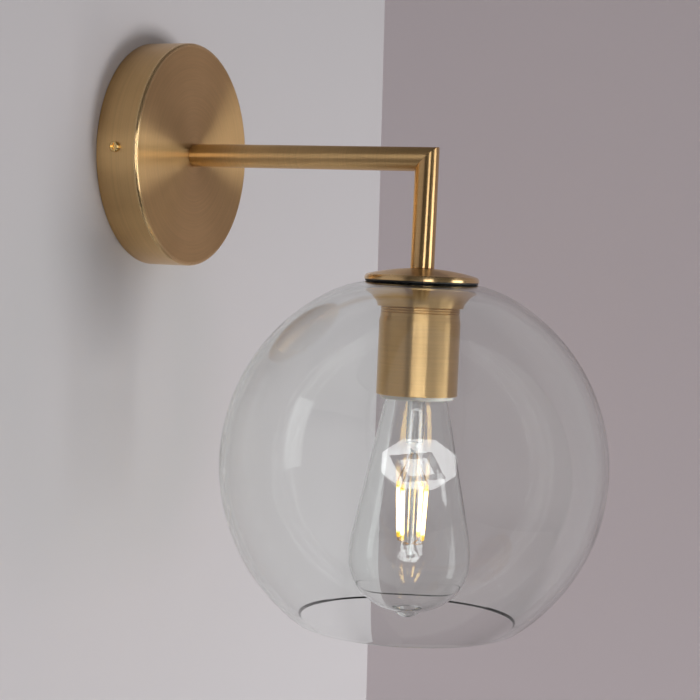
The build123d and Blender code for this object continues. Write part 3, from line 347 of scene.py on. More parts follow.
class Bench:
    """Lays out nodes in a material, a world or a node group."""

    def __init__(self, tree: bpy.types.NodeTree) -> None:
        """Takes the tree to work in."""
        self.tree = tree

    def add(self, kind: str, **settings: Any) -> bpy.types.Node:
        """Adds a node.

        Args:
            kind: node type without its ShaderNode prefix.
            **settings: attributes to set on it.

        Returns:
            The node.
        """
        node = self.tree.nodes.new("ShaderNode" + kind)
        for name, value in settings.items():
            setattr(node, name, value)
        return node

    def give(self, socket: bpy.types.NodeSocket, value: Any) -> None:
        """Gives a socket its value.

        Args:
            socket: an input.
            value: an output to link it from, or a plain value, with a colour as three numbers.
        """
        if isinstance(value, bpy.types.NodeSocket):
            self.tree.links.new(value, socket)
        elif socket.type == "RGBA":
            socket.default_value = (*value, 1.0)
        else:
            socket.default_value = value

    def feed(self, node: bpy.types.Node, **inputs: Any) -> bpy.types.Node:
        """Gives inputs their values by name, with underscores for spaces.

        Args:
            node: node whose inputs are fed.
            **inputs: values, or outputs to link from.

        Returns:
            The same node.
        """
        for name, value in inputs.items():
            self.give(node.inputs[name.replace("_", " ")], value)
        return node

    def group(self, name: str, **inputs: Any) -> bpy.types.Node:
        """Places a shared node group and feeds it.

        Args:
            name: name of the group.
            **inputs: values, or outputs to link from.

        Returns:
            Its node.
        """
        return self.feed(self.add("Group", node_tree=bpy.data.node_groups[name]), **inputs)

    def math(
        self, operation: str, first: Any, second: Any = 0.0, third: Any = 0.0, clamp: bool = False
    ) -> bpy.types.NodeSocket:
        """Adds a Math node.

        Args:
            operation: name of the operation.
            first: first value or output.
            second: second value or output.
            third: third value or output.
            clamp: True to keep the result between 0 and 1.

        Returns:
            Its output.
        """
        node = self.add("Math", operation=operation, use_clamp=clamp)
        for socket, value in zip(node.inputs, (first, second, third)):
            self.give(socket, value)
        return node.outputs[0]

    def vector(self, operation: str, first: Any, second: Any) -> bpy.types.NodeSocket:
        """Adds a Vector Math node for two vectors.

        Args:
            operation: name of the operation.
            first: first vector or output.
            second: second vector or output.

        Returns:
            Its vector output.
        """
        node = self.add("VectorMath", operation=operation)
        self.give(node.inputs[0], first)
        self.give(node.inputs[1], second)
        return node.outputs["Vector"]

    def scale(self, vector: bpy.types.NodeSocket, amount: Any) -> bpy.types.NodeSocket:
        """Adds a Vector Math node that scales a vector or a colour.

        Args:
            vector: output that is scaled.
            amount: factor or output.

        Returns:
            The scaled vector.
        """
        node = self.feed(self.add("VectorMath", operation="SCALE"), Scale=amount)
        self.give(node.inputs[0], vector)
        return node.outputs["Vector"]

    def axis(self, vector: bpy.types.NodeSocket, name: str) -> bpy.types.NodeSocket:
        """Reads one axis, X, Y or Z, of a vector."""
        return self.feed(self.add("SeparateXYZ"), Vector=vector).outputs[name]

    def noise(self, vector: bpy.types.NodeSocket, scale: Any, detail: float = 2.0) -> bpy.types.NodeSocket:
        """Adds a Noise Texture and returns its value."""
        return self.feed(self.add("TexNoise"), Vector=vector, Scale=scale, Detail=detail).outputs["Fac"]

    def ramp(self, value: bpy.types.NodeSocket, stops: Stops) -> bpy.types.NodeSocket:
        """Adds a colour ramp.

        Args:
            value: output that drives it.
            stops: position and colour of each stop.

        Returns:
            Its colour output.
        """
        node = self.add("ValToRGB")
        elements = node.color_ramp.elements
        while len(elements) < len(stops):
            elements.new(0.5)
        for element, (position, colour) in zip(elements, stops):
            element.position = position
            element.color = (*colour, 1.0)
        self.give(node.inputs["Fac"], value)
        return node.outputs["Color"]

    def blend(self, share: Any, first: Any, second: Any) -> bpy.types.NodeSocket:
        """Mixes two colours.

        Args:
            share: share of the second colour.
            first: colour or output.
            second: colour or output.

        Returns:
            The mixed colour.
        """
        node = self.add("Mix", data_type="RGBA", clamp_factor=True)
        for index, value in ((0, share), (6, first), (7, second)):
            self.give(node.inputs[index], value)
        return node.outputs[2]

    def bump(self, height: bpy.types.NodeSocket, strength: float, depth: float) -> bpy.types.NodeSocket:
        """Adds a Bump node of a depth in millimetres and returns its normal."""
        node = self.feed(self.add("Bump"), Height=height, Strength=strength, Distance=depth * MM)
        return node.outputs["Normal"]

    def clear_where(
        self, share: bpy.types.NodeSocket, shader: bpy.types.NodeSocket, output: bpy.types.Node
    ) -> None:
        """Finishes a surface that lets rays straight through where a mask is 1.

        Args:
            share: the mask.
            shader: shader seen elsewhere.
            output: the tree's output node.
        """
        mix = self.feed(self.add("MixShader"), Fac=share)
        self.give(mix.inputs[1], shader)
        self.give(mix.inputs[2], self.add("BsdfTransparent").outputs["BSDF"])
        self.give(output.inputs["Surface"], mix.outputs["Shader"])


class Effects:
    """Shared shader groups, each built once."""

    @staticmethod
    def _open(name: str, takes: dict[str, Any], gives: dict[str, str]) -> tuple[Bench, Any, Any]:
        """Starts a node group.

        Args:
            name: name of the group.
            takes: socket type of each input, or its default where it is a number.
            gives: socket type of each output.

        Returns:
            A bench, the sockets that the group is given and the sockets that it makes.
        """
        tree = bpy.data.node_groups.new(name, "ShaderNodeTree")
        for label, kind in takes.items():
            number = isinstance(kind, float)
            socket_type = "NodeSocketFloat" if number else "NodeSocket" + kind
            socket = tree.interface.new_socket(label, in_out="INPUT", socket_type=socket_type)
            if number:
                socket.default_value = kind
        for label, kind in gives.items():
            tree.interface.new_socket(label, in_out="OUTPUT", socket_type="NodeSocket" + kind)
        given, made = tree.nodes.new("NodeGroupInput"), tree.nodes.new("NodeGroupOutput")
        return Bench(tree), given.outputs, made.inputs

    @classmethod
    def turned_grain(cls) -> None:
        """Fine tool marks round a turned piece: slow along them, fast across them."""
        bench, given, made = cls._open(
            "turned_grain",
            {"Place": "Vector", "Along": 0.0, "Length": 30.0, "Pitch": 9000.0},
            {"Height": "Float", "Streak": "Float"},
        )
        fine_share, coarse_share, coarse_pitch = 0.45, 0.55, 0.17
        across = bench.math("MULTIPLY", given["Along"], given["Pitch"])
        shift = bench.feed(bench.add("CombineXYZ"), Z=across).outputs["Vector"]
        place = bench.vector("ADD", bench.scale(given["Place"], given["Length"]), shift)
        fine = bench.noise(place, 1.0, 3.0)
        coarse = bench.noise(bench.vector("MULTIPLY", place, (1.0, 1.0, coarse_pitch)), 1.0, 1.0)
        bench.give(made["Height"], fine)
        fine = bench.math("MULTIPLY", fine, fine_share)
        bench.give(made["Streak"], bench.math("ADD", fine, bench.math("MULTIPLY", coarse, coarse_share)))

    @classmethod
    def tarnish(cls) -> None:
        """Slow clouds between two tones, with small darker specks."""
        bench, given, made = cls._open(
            "tarnish",
            {"Place": "Vector", "Scale": 20.0, "Bright": "Color", "Dull": "Color", "Speck": 0.1},
            {"Colour": "Color", "Mask": "Float"},
        )
        contrast, offset = 2.4, -0.7
        speck_scale, speck_from = 1400.0, 0.69
        cloud = bench.noise(given["Place"], given["Scale"], 4.0)
        spread = bench.math("MULTIPLY_ADD", cloud, contrast, offset, clamp=True)
        speck = bench.math("GREATER_THAN", bench.noise(given["Place"], speck_scale, 1.0), speck_from)
        mask = bench.math("MULTIPLY_ADD", speck, given["Speck"], spread, clamp=True)
        bench.give(made["Colour"], bench.blend(mask, given["Bright"], given["Dull"]))
        bench.give(made["Mask"], mask)

    @classmethod
    def edge_wear(cls) -> None:
        """Rubbed metal where the edge attribute is high, broken up by noise."""
        bench, given, made = cls._open(
            "edge_wear", {"Place": "Vector", "Edge": 0.0, "Amount": 0.7}, {"Mask": "Float"}
        )
        scale, gain, least = 180.0, 0.9, 0.35
        broken = bench.math("MULTIPLY_ADD", bench.noise(given["Place"], scale, 3.0), gain, least)
        rubbed = bench.math("MULTIPLY", given["Edge"], broken)
        bench.give(made["Mask"], bench.math("MULTIPLY", rubbed, given["Amount"], clamp=True))

    @classmethod
    def dust(cls) -> None:
        """Thin dust on faces that look up."""
        bench, given, made = cls._open("dust", {"Place": "Vector", "Amount": 0.1}, {"Mask": "Float"})
        scale, steepness = 260.0, 2.0
        up = bench.axis(bench.add("NewGeometry").outputs["Normal"], "Z")
        lying = bench.math("POWER", bench.math("MAXIMUM", up, 0.0), steepness)
        cover = bench.math("MULTIPLY", lying, bench.noise(given["Place"], scale, 5.0))
        bench.give(made["Mask"], bench.math("MULTIPLY", cover, given["Amount"], clamp=True))

    @classmethod
    def moulded_skin(cls) -> None:
        """Gentle waviness and fine pitting of a moulded, blown or glazed skin."""
        bench, given, made = cls._open(
            "moulded_skin",
            {"Place": "Vector", "Wave": 60.0, "Pit": 2500.0},
            {"Height": "Float", "Mottle": "Float"},
        )
        pit_share = 0.08
        wave = bench.noise(given["Place"], given["Wave"], 1.0)
        pit = bench.noise(given["Place"], given["Pit"])
        bench.give(made["Height"], bench.math("MULTIPLY_ADD", pit, pit_share, wave))
        bench.give(made["Mottle"], wave)

    @classmethod
    def build(cls) -> None:
        """Builds every group."""
        for effect in (cls.turned_grain, cls.tarnish, cls.edge_wear, cls.dust, cls.moulded_skin):
            effect()


# ---------------------------------------------------------------- finishes


def new_material(name: str) -> tuple[bpy.types.Material, Bench, bpy.types.Node, bpy.types.Node]:
    """Starts a material.

    Args:
        name: name of the material.

    Returns:
        The material, its bench, its main shader and its output node.
    """
    material = bpy.data.materials.new(name)
    material.use_nodes = True
    nodes = material.node_tree.nodes
    return material, Bench(material.node_tree), nodes["Principled BSDF"], nodes["Material Output"]


def wear_and_dust(
    bench: Bench, place: bpy.types.NodeSocket, wear: float, dust: float
) -> tuple[bpy.types.NodeSocket, bpy.types.NodeSocket]:
    """Places the two effects that every touched piece has.

    Args:
        bench: bench of the material.
        place: the piece's own coordinates.
        wear: amount of edge wear.
        dust: amount of dust.

    Returns:
        The masks of the rubbed edges and of the dust.
    """
    edge = bench.add("Attribute", attribute_name=EDGE).outputs["Fac"]
    rubbed = bench.group("edge_wear", Place=place, Edge=edge, Amount=wear)
    powder = bench.group("dust", Place=place, Amount=dust)
    return rubbed.outputs["Mask"], powder.outputs["Mask"]


class Tooling(Enum):
    """How a metal piece was worked."""

    TURNED = "turned"
    PRESSED = "pressed"


@dataclass(frozen=True)
class MetalFinish:
    """A bare or lacquered metal."""

    name: str
    bright: Colour
    dull: Colour
    worn: Colour
    roughness: float
    tooling: Tooling = Tooling.PRESSED
    anisotropy: float = 0.0
    coat: float = 0.0
    grain_depth: float = 0.02
    grain_pitch: float = 9000.0
    grain_length: float = 30.0
    pressed_wave: float = 140.0
    pressed_pit: float = 3000.0
    grain_strength: float = 0.35
    streaks: float = 0.36
    rough_spread: float = 0.10
    cloud_scale: float = 22.0
    cloud_rough: float = 0.05
    speck: float = 0.08
    wear: float = 0.6
    worn_rough: float = -0.08
    dust: float = 0.05
    dust_tone: Colour = (0.46, 0.43, 0.39)
    dust_rough: float = 0.4
    dust_cover: float = 0.9
    coat_roughness: float = 0.12

    def _grain(
        self, bench: Bench, place: bpy.types.NodeSocket
    ) -> tuple[bpy.types.NodeSocket, bpy.types.NodeSocket]:
        """Places the marks of the tool.

        Args:
            bench: bench of the material.
            place: the piece's own coordinates.

        Returns:
            Height of the marks and their streaks.
        """
        if self.tooling is Tooling.PRESSED:
            skin = bench.group("moulded_skin", Place=place, Wave=self.pressed_wave, Pit=self.pressed_pit)
            return skin.outputs["Height"], skin.outputs["Mottle"]
        grain = bench.group(
            "turned_grain", Place=place, Along=bench.axis(bench.add("UVMap", uv_map=WRAP).outputs["UV"], "Y"),
            Length=self.grain_length, Pitch=self.grain_pitch,
        )
        return grain.outputs["Height"], grain.outputs["Streak"]

    def build(self) -> bpy.types.Material:
        """Builds the material.

        Returns:
            The material.
        """
        material, bench, shader, _ = new_material(self.name)
        place = bench.add("TexCoord").outputs["Object"]
        clouds = bench.group(
            "tarnish", Place=place, Scale=self.cloud_scale, Bright=self.bright, Dull=self.dull,
            Speck=self.speck,
        )
        rubbed, powder = wear_and_dust(bench, place, self.wear, self.dust)
        colour = bench.blend(rubbed, clouds.outputs["Colour"], self.worn)
        colour = bench.blend(powder, colour, self.dust_tone)
        height, streak = self._grain(bench, place)
        shade = bench.math("MULTIPLY_ADD", streak, self.streaks, 1.0 - self.streaks / 2)
        rough = bench.math(
            "MULTIPLY_ADD", streak, self.rough_spread, self.roughness - self.rough_spread / 2
        )
        rough = bench.math("MULTIPLY_ADD", clouds.outputs["Mask"], self.cloud_rough, rough)
        rough = bench.math("MULTIPLY_ADD", rubbed, self.worn_rough, rough)
        rough = bench.math("MULTIPLY_ADD", powder, self.dust_rough, rough, clamp=True)
        metal = bench.math("MULTIPLY_ADD", powder, -self.dust_cover, 1.0, clamp=True)
        bench.feed(
            shader, Base_Color=bench.scale(colour, shade), Roughness=rough, Metallic=metal,
            Normal=bench.bump(height, self.grain_strength, self.grain_depth),
            Coat_Weight=self.coat, Coat_Roughness=self.coat_roughness,
        )
        if self.anisotropy:
            tangent = bench.add("Tangent", direction_type="UV_MAP", uv_map=WRAP).outputs["Tangent"]
            bench.feed(shader, Anisotropic=self.anisotropy, Anisotropic_Rotation=0.25, Tangent=tangent)
        return material


@dataclass(frozen=True)
class PlasticFinish:
    """A moulded plastic, a soft rubber, an insulation or a glazed ceramic."""

    name: str
    colour: Colour
    deep: Colour
    roughness: float
    coat: float = 0.0
    coat_roughness: float = 0.05
    depth: float = 0.03
    strength: float = 0.4
    wave: float = 90.0
    pit: float = 2500.0
    rough_spread: float = 0.12
    glow_through: float = 0.0
    glow_depth: float = 0.002
    wear: float = 0.4
    worn: Colour = (0.7, 0.69, 0.66)
    worn_share: float = 0.3
    dust: float = 0.1
    dust_tone: Colour = (0.46, 0.44, 0.41)
    dust_rough: float = 0.3

    def build(self) -> bpy.types.Material:
        """Builds the material.

        Returns:
            The material.
        """
        material, bench, shader, _ = new_material(self.name)
        place = bench.add("TexCoord").outputs["Object"]
        skin = bench.group("moulded_skin", Place=place, Wave=self.wave, Pit=self.pit)
        mottle = skin.outputs["Mottle"]
        rubbed, powder = wear_and_dust(bench, place, self.wear, self.dust)
        colour = bench.blend(mottle, self.deep, self.colour)
        colour = bench.blend(bench.math("MULTIPLY", rubbed, self.worn_share), colour, self.worn)
        colour = bench.blend(powder, colour, self.dust_tone)
        rough = bench.math(
            "MULTIPLY_ADD", mottle, self.rough_spread, self.roughness - self.rough_spread / 2
        )
        rough = bench.math("MULTIPLY_ADD", powder, self.dust_rough, rough, clamp=True)
        bench.feed(
            shader, Base_Color=colour, Roughness=rough,
            Normal=bench.bump(skin.outputs["Height"], self.strength, self.depth),
            Coat_Weight=self.coat, Coat_Roughness=self.coat_roughness,
            Subsurface_Weight=self.glow_through, Subsurface_Scale=self.glow_depth,
        )
        return material


@dataclass(frozen=True)
class EarthFinish:
    """Green and yellow striped insulation."""

    name: str = "earth_insulation"
    green: Colour = (0.05, 0.30, 0.07)
    yellow: Colour = (0.80, 0.62, 0.04)
    stripe: float = 0.0007
    slant: float = 0.08
    roughness: float = 0.42
    depth: float = 0.02
    strength: float = 0.4
    wave: float = 90.0
    pit: float = 2500.0

    def build(self) -> bpy.types.Material:
        """Builds the material.

        Returns:
            The material.
        """
        material, bench, shader, _ = new_material(self.name)
        place = bench.add("TexCoord").outputs["Object"]
        skin = bench.group("moulded_skin", Place=place, Wave=self.wave, Pit=self.pit)
        across = bench.math("MULTIPLY_ADD", bench.axis(place, "Z"), self.slant, bench.axis(place, "X"))
        striped = bench.math("GREATER_THAN", bench.math("PINGPONG", across, self.stripe), self.stripe / 2)
        bench.feed(
            shader, Base_Color=bench.blend(striped, self.green, self.yellow), Roughness=self.roughness,
            Normal=bench.bump(skin.outputs["Height"], self.strength, self.depth),
        )
        return material


@dataclass(frozen=True)
class GlassFinish:
    """A clear blown glass, with a few finger marks."""

    name: str
    tint: Colour
    body_tint: Colour
    body_density: float
    index: float = 1.5
    pale_share: float = 1.01
    wave: float = 26.0
    pit: float = 900.0
    depth: float = 0.1
    smudge: float = 0.2
    smudge_scale: float = 14.0
    smudge_start: float = 0.66

    def build(self) -> bpy.types.Material:
        """Builds the material.

        Returns:
            The material.
        """
        material, bench, shader, output = new_material(self.name)
        place = bench.add("TexCoord").outputs["Object"]
        mottle = bench.group("moulded_skin", Place=place, Wave=self.wave, Pit=self.pit).outputs["Mottle"]
        paler = tuple(min(1.0, part * self.pale_share) for part in self.tint)
        touched = bench.math("SUBTRACT", bench.noise(place, self.smudge_scale, 4.0), self.smudge_start)
        rough = bench.math("MULTIPLY", bench.math("MAXIMUM", touched, 0.0), self.smudge, clamp=True)
        bench.feed(
            shader, Base_Color=bench.blend(mottle, self.tint, paler), Roughness=rough,
            Transmission_Weight=1.0, IOR=self.index, Normal=bench.bump(mottle, 1.0, self.depth),
        )
        bench.clear_where(
            bench.add("LightPath").outputs["Is Shadow Ray"], shader.outputs["BSDF"], output
        )
        body = bench.feed(bench.add("VolumeAbsorption"), Color=self.body_tint, Density=self.body_density)
        bench.give(output.inputs["Volume"], body.outputs["Volume"])
        return material


@dataclass(frozen=True)
class FilamentFinish:
    """Phosphor coat of a lit filament: white hot along its length, yellow at its ends."""

    name: str = "filament_coat"
    coat: tuple[Colour, Colour] = ((0.86, 0.55, 0.05), (0.92, 0.64, 0.10))
    heart: Colour = (1.0, 0.64, 0.24)
    tip: Colour = (1.0, 0.58, 0.03)
    tip_share: float = 0.11
    tip_end: float = 0.45
    light: float = 7.0
    roughness: float = 0.55
    depth: float = 0.02
    strength: float = 0.3
    wave: float = 800.0
    pit: float = 4000.0

    def build(self) -> bpy.types.Material:
        """Builds the material.

        Returns:
            The material.
        """
        material, bench, shader, _ = new_material(self.name)
        place = bench.add("TexCoord").outputs["Object"]
        lit = bench.add("Attribute", attribute_name=GLOW).outputs["Fac"]
        skin = bench.group("moulded_skin", Place=place, Wave=self.wave, Pit=self.pit)
        dim = tuple(part * self.tip_share for part in self.tip)
        bench.feed(
            shader, Base_Color=bench.blend(skin.outputs["Mottle"], *self.coat), Roughness=self.roughness,
            Emission_Color=bench.ramp(lit, [(0.0, dim), (self.tip_end, dim), (1.0, self.heart)]),
            Emission_Strength=self.light,
            Normal=bench.bump(skin.outputs["Height"], self.strength, self.depth),
        )
        return material


Finish = MetalFinish | PlasticFinish | EarthFinish | GlassFinish | FilamentFinish


class Finishes:
    """Every finish of the light, by its slot in the record."""

    table: ClassVar[tuple[Finish, ...]] = (
        MetalFinish(
            "satin_brass", (0.70, 0.465, 0.215), (0.61, 0.395, 0.178), (0.86, 0.63, 0.34), 0.29,
            tooling=Tooling.TURNED, anisotropy=0.97, coat=0.06, dust=0.02,
        ),
        MetalFinish(
            "bright_brass", (0.90, 0.63, 0.26), (0.78, 0.50, 0.18), (0.95, 0.75, 0.42), 0.20, speck=0.04
        ),
        MetalFinish(
            "zinc_steel", (0.62, 0.63, 0.63), (0.47, 0.49, 0.51), (0.74, 0.74, 0.74), 0.34,
            cloud_scale=90.0, speck=0.25,
        ),
        MetalFinish(
            "nickel", (0.70, 0.68, 0.63), (0.58, 0.56, 0.51), (0.80, 0.78, 0.74), 0.22, cloud_scale=60.0
        ),
        MetalFinish(
            "solder", (0.60, 0.60, 0.60), (0.42, 0.42, 0.42), (0.7, 0.7, 0.7), 0.38, cloud_scale=300.0
        ),
        MetalFinish(
            "wire", (0.78, 0.55, 0.33), (0.60, 0.38, 0.20), (0.85, 0.66, 0.45), 0.25, cloud_scale=300.0
        ),
        PlasticFinish("gasket", (0.022, 0.022, 0.021), (0.014, 0.014, 0.013), 0.55),
        PlasticFinish(
            "porcelain", (0.86, 0.85, 0.82), (0.80, 0.79, 0.75), 0.22, coat=0.6, glow_through=0.15
        ),
        PlasticFinish("block_plastic", (0.80, 0.79, 0.74), (0.72, 0.71, 0.66), 0.42),
        PlasticFinish("brown_insulation", (0.16, 0.06, 0.025), (0.12, 0.045, 0.02), 0.4),
        PlasticFinish("blue_insulation", (0.03, 0.12, 0.42), (0.02, 0.09, 0.34), 0.4),
        EarthFinish(),
        PlasticFinish("black_glass", (0.012, 0.011, 0.014), (0.008, 0.008, 0.01), 0.14, coat=0.5),
        PlasticFinish("board", (0.05, 0.20, 0.09), (0.035, 0.15, 0.06), 0.45, wave=400.0),
        GlassFinish("clear_glass", (0.99, 1.0, 0.995), (0.30, 0.56, 0.45), 15.0),
        GlassFinish("bulb_envelope", (0.99, 1.0, 0.995), (0.30, 0.74, 0.62), 12.0, wave=45.0, depth=0.03),
        FilamentFinish(),
    )

    def __init__(self) -> None:
        """Builds all finishes."""
        Effects.build()
        self.made = {finish.name: finish.build() for finish in self.table}

    def __getitem__(self, slot: str) -> bpy.types.Material:
        """Material of a slot."""
        return self.made[slot]


# ---------------------------------------------------------------- sub-assemblies


@dataclass
class SubAssembly(ABC):
    """Pieces of the light that ride on one body."""

    finishes: Finishes
    body: ClassVar[Body] = Body.FIXTURE

    @abstractmethod
    def build(self) -> None:
        """Builds the pieces."""

    def stand(
        self,
        mesh: bmesh.types.BMesh,
        name: str,
        slot: str,
        node: str,
        place: Stand = Stand.LAMP,
        sharp: float = 32.0,
    ) -> None:
        """Turns a finished mesh into a piece of the light.

        Args:
            mesh: mesh in millimetres, freed here.
            name: name of the piece.
            slot: material slot of the record that it takes its finish from.
            node: frame node that it stands for.
            place: where it stands.
            sharp: angle in degrees past which an edge stays sharp.
        """
        mesh.transform(place.value)
        data = written(mesh, name)
        data.polygons.foreach_set("use_smooth", [True] * len(data.polygons))
        data.set_sharp_from_angle(angle=math.radians(sharp))
        data.materials.append(self.finishes[slot])
        piece = in_scene(data)
        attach(piece, self.body.value)
        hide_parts(node)
        log.info("piece %s: %d faces on %s", name, len(data.polygons), self.body.value)


@dataclass
class WallRose(SubAssembly):
    """Pressed round cup against the wall, brushed in rings."""

    radius: float = 60.0
    depth: float = 24.0
    wall: float = 1.2
    edge_radius: float = 1.6

    def build(self) -> None:
        """Builds the cup."""
        inside = self.depth - self.wall
        corner = (self.radius - self.edge_radius, self.depth - self.edge_radius)
        outline = Outline(LEAD_HOLE, self.depth)
        outline.to(corner[0], self.depth, hold=0.5).turn(corner, 90, pace=11.25, worn=True)
        outline.to(self.radius, 0.0, hold=0.5).to(self.radius - self.wall, 0.0)
        outline.to(self.radius - self.wall, inside).to(LEAD_HOLE, inside).close()
        self.stand(outline.spin(192), "rose_cup", "satin_brass", "wall_rose", Stand.WALL)


@dataclass
class Arm(SubAssembly):
    """Horizontal and vertical tubes, mitred and brazed at the elbow."""

    radius: float = 6.2
    bore_radius: float = 4.5
    root: float = 24.0
    reach: float = 160.0
    drop: float = 55.7
    end_round: float = 0.25
    joint_line: float = 0.16

    def _tube(self, first: float, last: float) -> bmesh.types.BMesh:
        """Spins a plain tube.

        Args:
            first: level of its rounded end.
            last: level of its other end.

        Returns:
            A closed mesh in millimetres.
        """
        soft = self.end_round
        way = 1 if last > first else -1
        outline = Outline(self.bore_radius, first).to(self.radius - soft, first)
        outline.turn((self.radius - soft, first + way * soft), -90 * way, pace=30, worn=True)
        outline.to(self.radius, last, hold=0.4).to(self.bore_radius, last).close()
        return outline.spin(96)

    def _mitre(self, mesh: bmesh.types.BMesh, horizontal: bool) -> bmesh.types.BMesh:
        """Cuts a tube on the mitre and closes the cut with a fine joint line.

        Args:
            mesh: tube in millimetres, already in its place.
            horizontal: True for the arm, False for the drop tube.

        Returns:
            The same mesh.
        """
        cut = bmesh.ops.bisect_plane(
            mesh, geom=mesh.verts[:] + mesh.edges[:] + mesh.faces[:], dist=1e-4,
            plane_co=(0, -self.reach, 0), plane_no=(0, 1, 1), clear_inner=horizontal,
            clear_outer=not horizontal,
        )
        rims = [item for item in cut["geom_cut"] if isinstance(item, bmesh.types.BMEdge)]
        bmesh.ops.bridge_loops(mesh, edges=rims)

        def from_axis(place: Vector) -> float:
            """Distance of a point from the tube's own axis."""
            return math.hypot(place.x, place.z if horizontal else place.y + self.reach)

        skin = self.radius - 0.05
        outer = [edge for edge in rims if all(from_axis(vert.co) > skin for vert in edge.verts)]
        soften(mesh, outer, self.joint_line, segments=2)
        bmesh.ops.recalc_face_normals(mesh, faces=mesh.faces)
        return mesh

    def build(self) -> None:
        """Builds both tubes."""
        arm = self._tube(self.root, self.reach + 2 * self.radius)
        arm.transform(Matrix.Rotation(math.radians(90), 4, "X"))
        drop = self._tube(-self.drop, 2 * self.radius)
        drop.transform(Matrix.Translation((0, -self.reach, 0)))
        self.stand(self._mitre(arm, True), "arm_run", "satin_brass", "arm_tube", Stand.AS_DRAWN)
        self.stand(self._mitre(drop, False), "drop_run", "satin_brass", "drop_tube", Stand.AS_DRAWN)


@dataclass
class DomeCap(SubAssembly):
    """Spun cap over the glass."""

    radius: float = 29.5
    wall: float = 1.2
    crown_radius: float = 110.0
    edge_radius: float = 2.5
    lip: float = 0.5

    def build(self) -> None:
        """Builds the cap."""
        bottom = low("dome_cap")
        edge_level = bottom + self.lip
        edge_centre = (self.radius - self.edge_radius, edge_level)
        reach = self.crown_radius - self.edge_radius
        crown = (0, edge_level - math.sqrt(reach**2 - edge_centre[0] ** 2))
        half = math.degrees(math.asin(edge_centre[0] / reach))
        hole = math.degrees(math.asin(LEAD_HOLE / self.crown_radius))
        inner_hole = math.degrees(math.asin(LEAD_HOLE / (self.crown_radius - self.wall)))
        outline = Outline(LEAD_HOLE, crown[1] + math.sqrt(self.crown_radius**2 - LEAD_HOLE**2))
        outline.turn(crown, half - hole, pace=1.0).turn(edge_centre, 90 - half, pace=9, worn=True)
        outline.to(self.radius, bottom).to(self.radius - self.wall, bottom)
        outline.to(self.radius - self.wall, edge_level).turn(edge_centre, half - 90, pace=12)
        outline.turn(crown, inner_hole - half, pace=1.5).close()
        self.stand(outline.spin(160), "cap_dome", "satin_brass", "dome_cap")


@dataclass
class LampCup(SubAssembly):
    """Turned cup with a grooved neck, and the porcelain holder inside it."""

    neck_radius: float = 20.4
    cup_radius: float = 20.9
    bore_radius: float = 19.5
    top_wall: float = 1.2
    height: float = 61.8
    neck_length: float = 21.6
    taper: float = 2.4
    edge_radius: float = 0.5
    groove_depth: float = 0.35
    groove_pitch: float = 1.25
    groove_width: float = 0.75
    groove_count: int = 8
    plain_length: float = 1.3
    lip_round: float = 0.2
    holder_radius: float = 19.2
    mouth_radius: float = 17.6
    mouth_depth: float = 4.6
    holder_edge: float = 0.72
    bore_in_holder: float = 14.4
    deck_depth: float = 31.6

    def _cup(self) -> None:
        """Builds the brass cup."""
        top = high("lamp_cup")
        bottom = top - self.height
        neck_bottom = top - self.neck_length
        corner = (self.neck_radius - self.edge_radius, top - self.edge_radius)
        outline = Outline(LEAD_HOLE, top).to(corner[0], top).turn(corner, 90, pace=30)
        first = neck_bottom + self.plain_length + self.groove_pitch * (self.groove_count - 0.5)
        for index in range(self.groove_count):
            level = first - index * self.groove_pitch
            outline.to(self.neck_radius, level + self.groove_width / 2)
            outline.to(self.neck_radius - self.groove_depth, level)
            outline.to(self.neck_radius, level - self.groove_width / 2)
        outline.to(self.neck_radius, neck_bottom, hold=0.2)
        outline.to(self.cup_radius, neck_bottom - self.taper, hold=0.2)
        lip = (self.cup_radius - self.lip_round, bottom + self.lip_round)
        outline.to(self.cup_radius, lip[1], hold=0.4).turn(lip, 90, pace=30, worn=True)
        outline.to(self.bore_radius, bottom).to(self.bore_radius, top - self.top_wall)
        outline.to(LEAD_HOLE, top - self.top_wall).close()
        self.stand(outline.spin(128), "cup_turned", "satin_brass", "lamp_cup", sharp=24.0)

    def _holder(self) -> None:
        """Builds the porcelain holder."""
        bottom, top = low("holder_porcelain"), high("holder_porcelain")
        edge = self.holder_edge
        deck = bottom + self.deck_depth
        inset = self.holder_radius - edge
        outline = Outline(0.0, top).to(inset, top).turn((inset, top - edge), 90, pace=18)
        outline.to(self.holder_radius, bottom + edge, hold=0.5)
        outline.turn((inset, bottom + edge), 90, pace=15, worn=True)
        outline.to(self.mouth_radius + edge, bottom)
        outline.turn((self.mouth_radius + edge, bottom + edge), 90, pace=15, worn=True)
        outline.to(self.mouth_radius, bottom + self.mouth_depth, hold=0.4)
        outline.to(self.bore_in_holder, bottom + self.mouth_depth)
        outline.to(self.bore_in_holder, deck).to(0.0, deck)
        self.stand(outline.spin(96), "holder_body", "porcelain", "holder_porcelain")

    def build(self) -> None:
        """Builds the cup and its holder."""
        self._cup()
        self._holder()


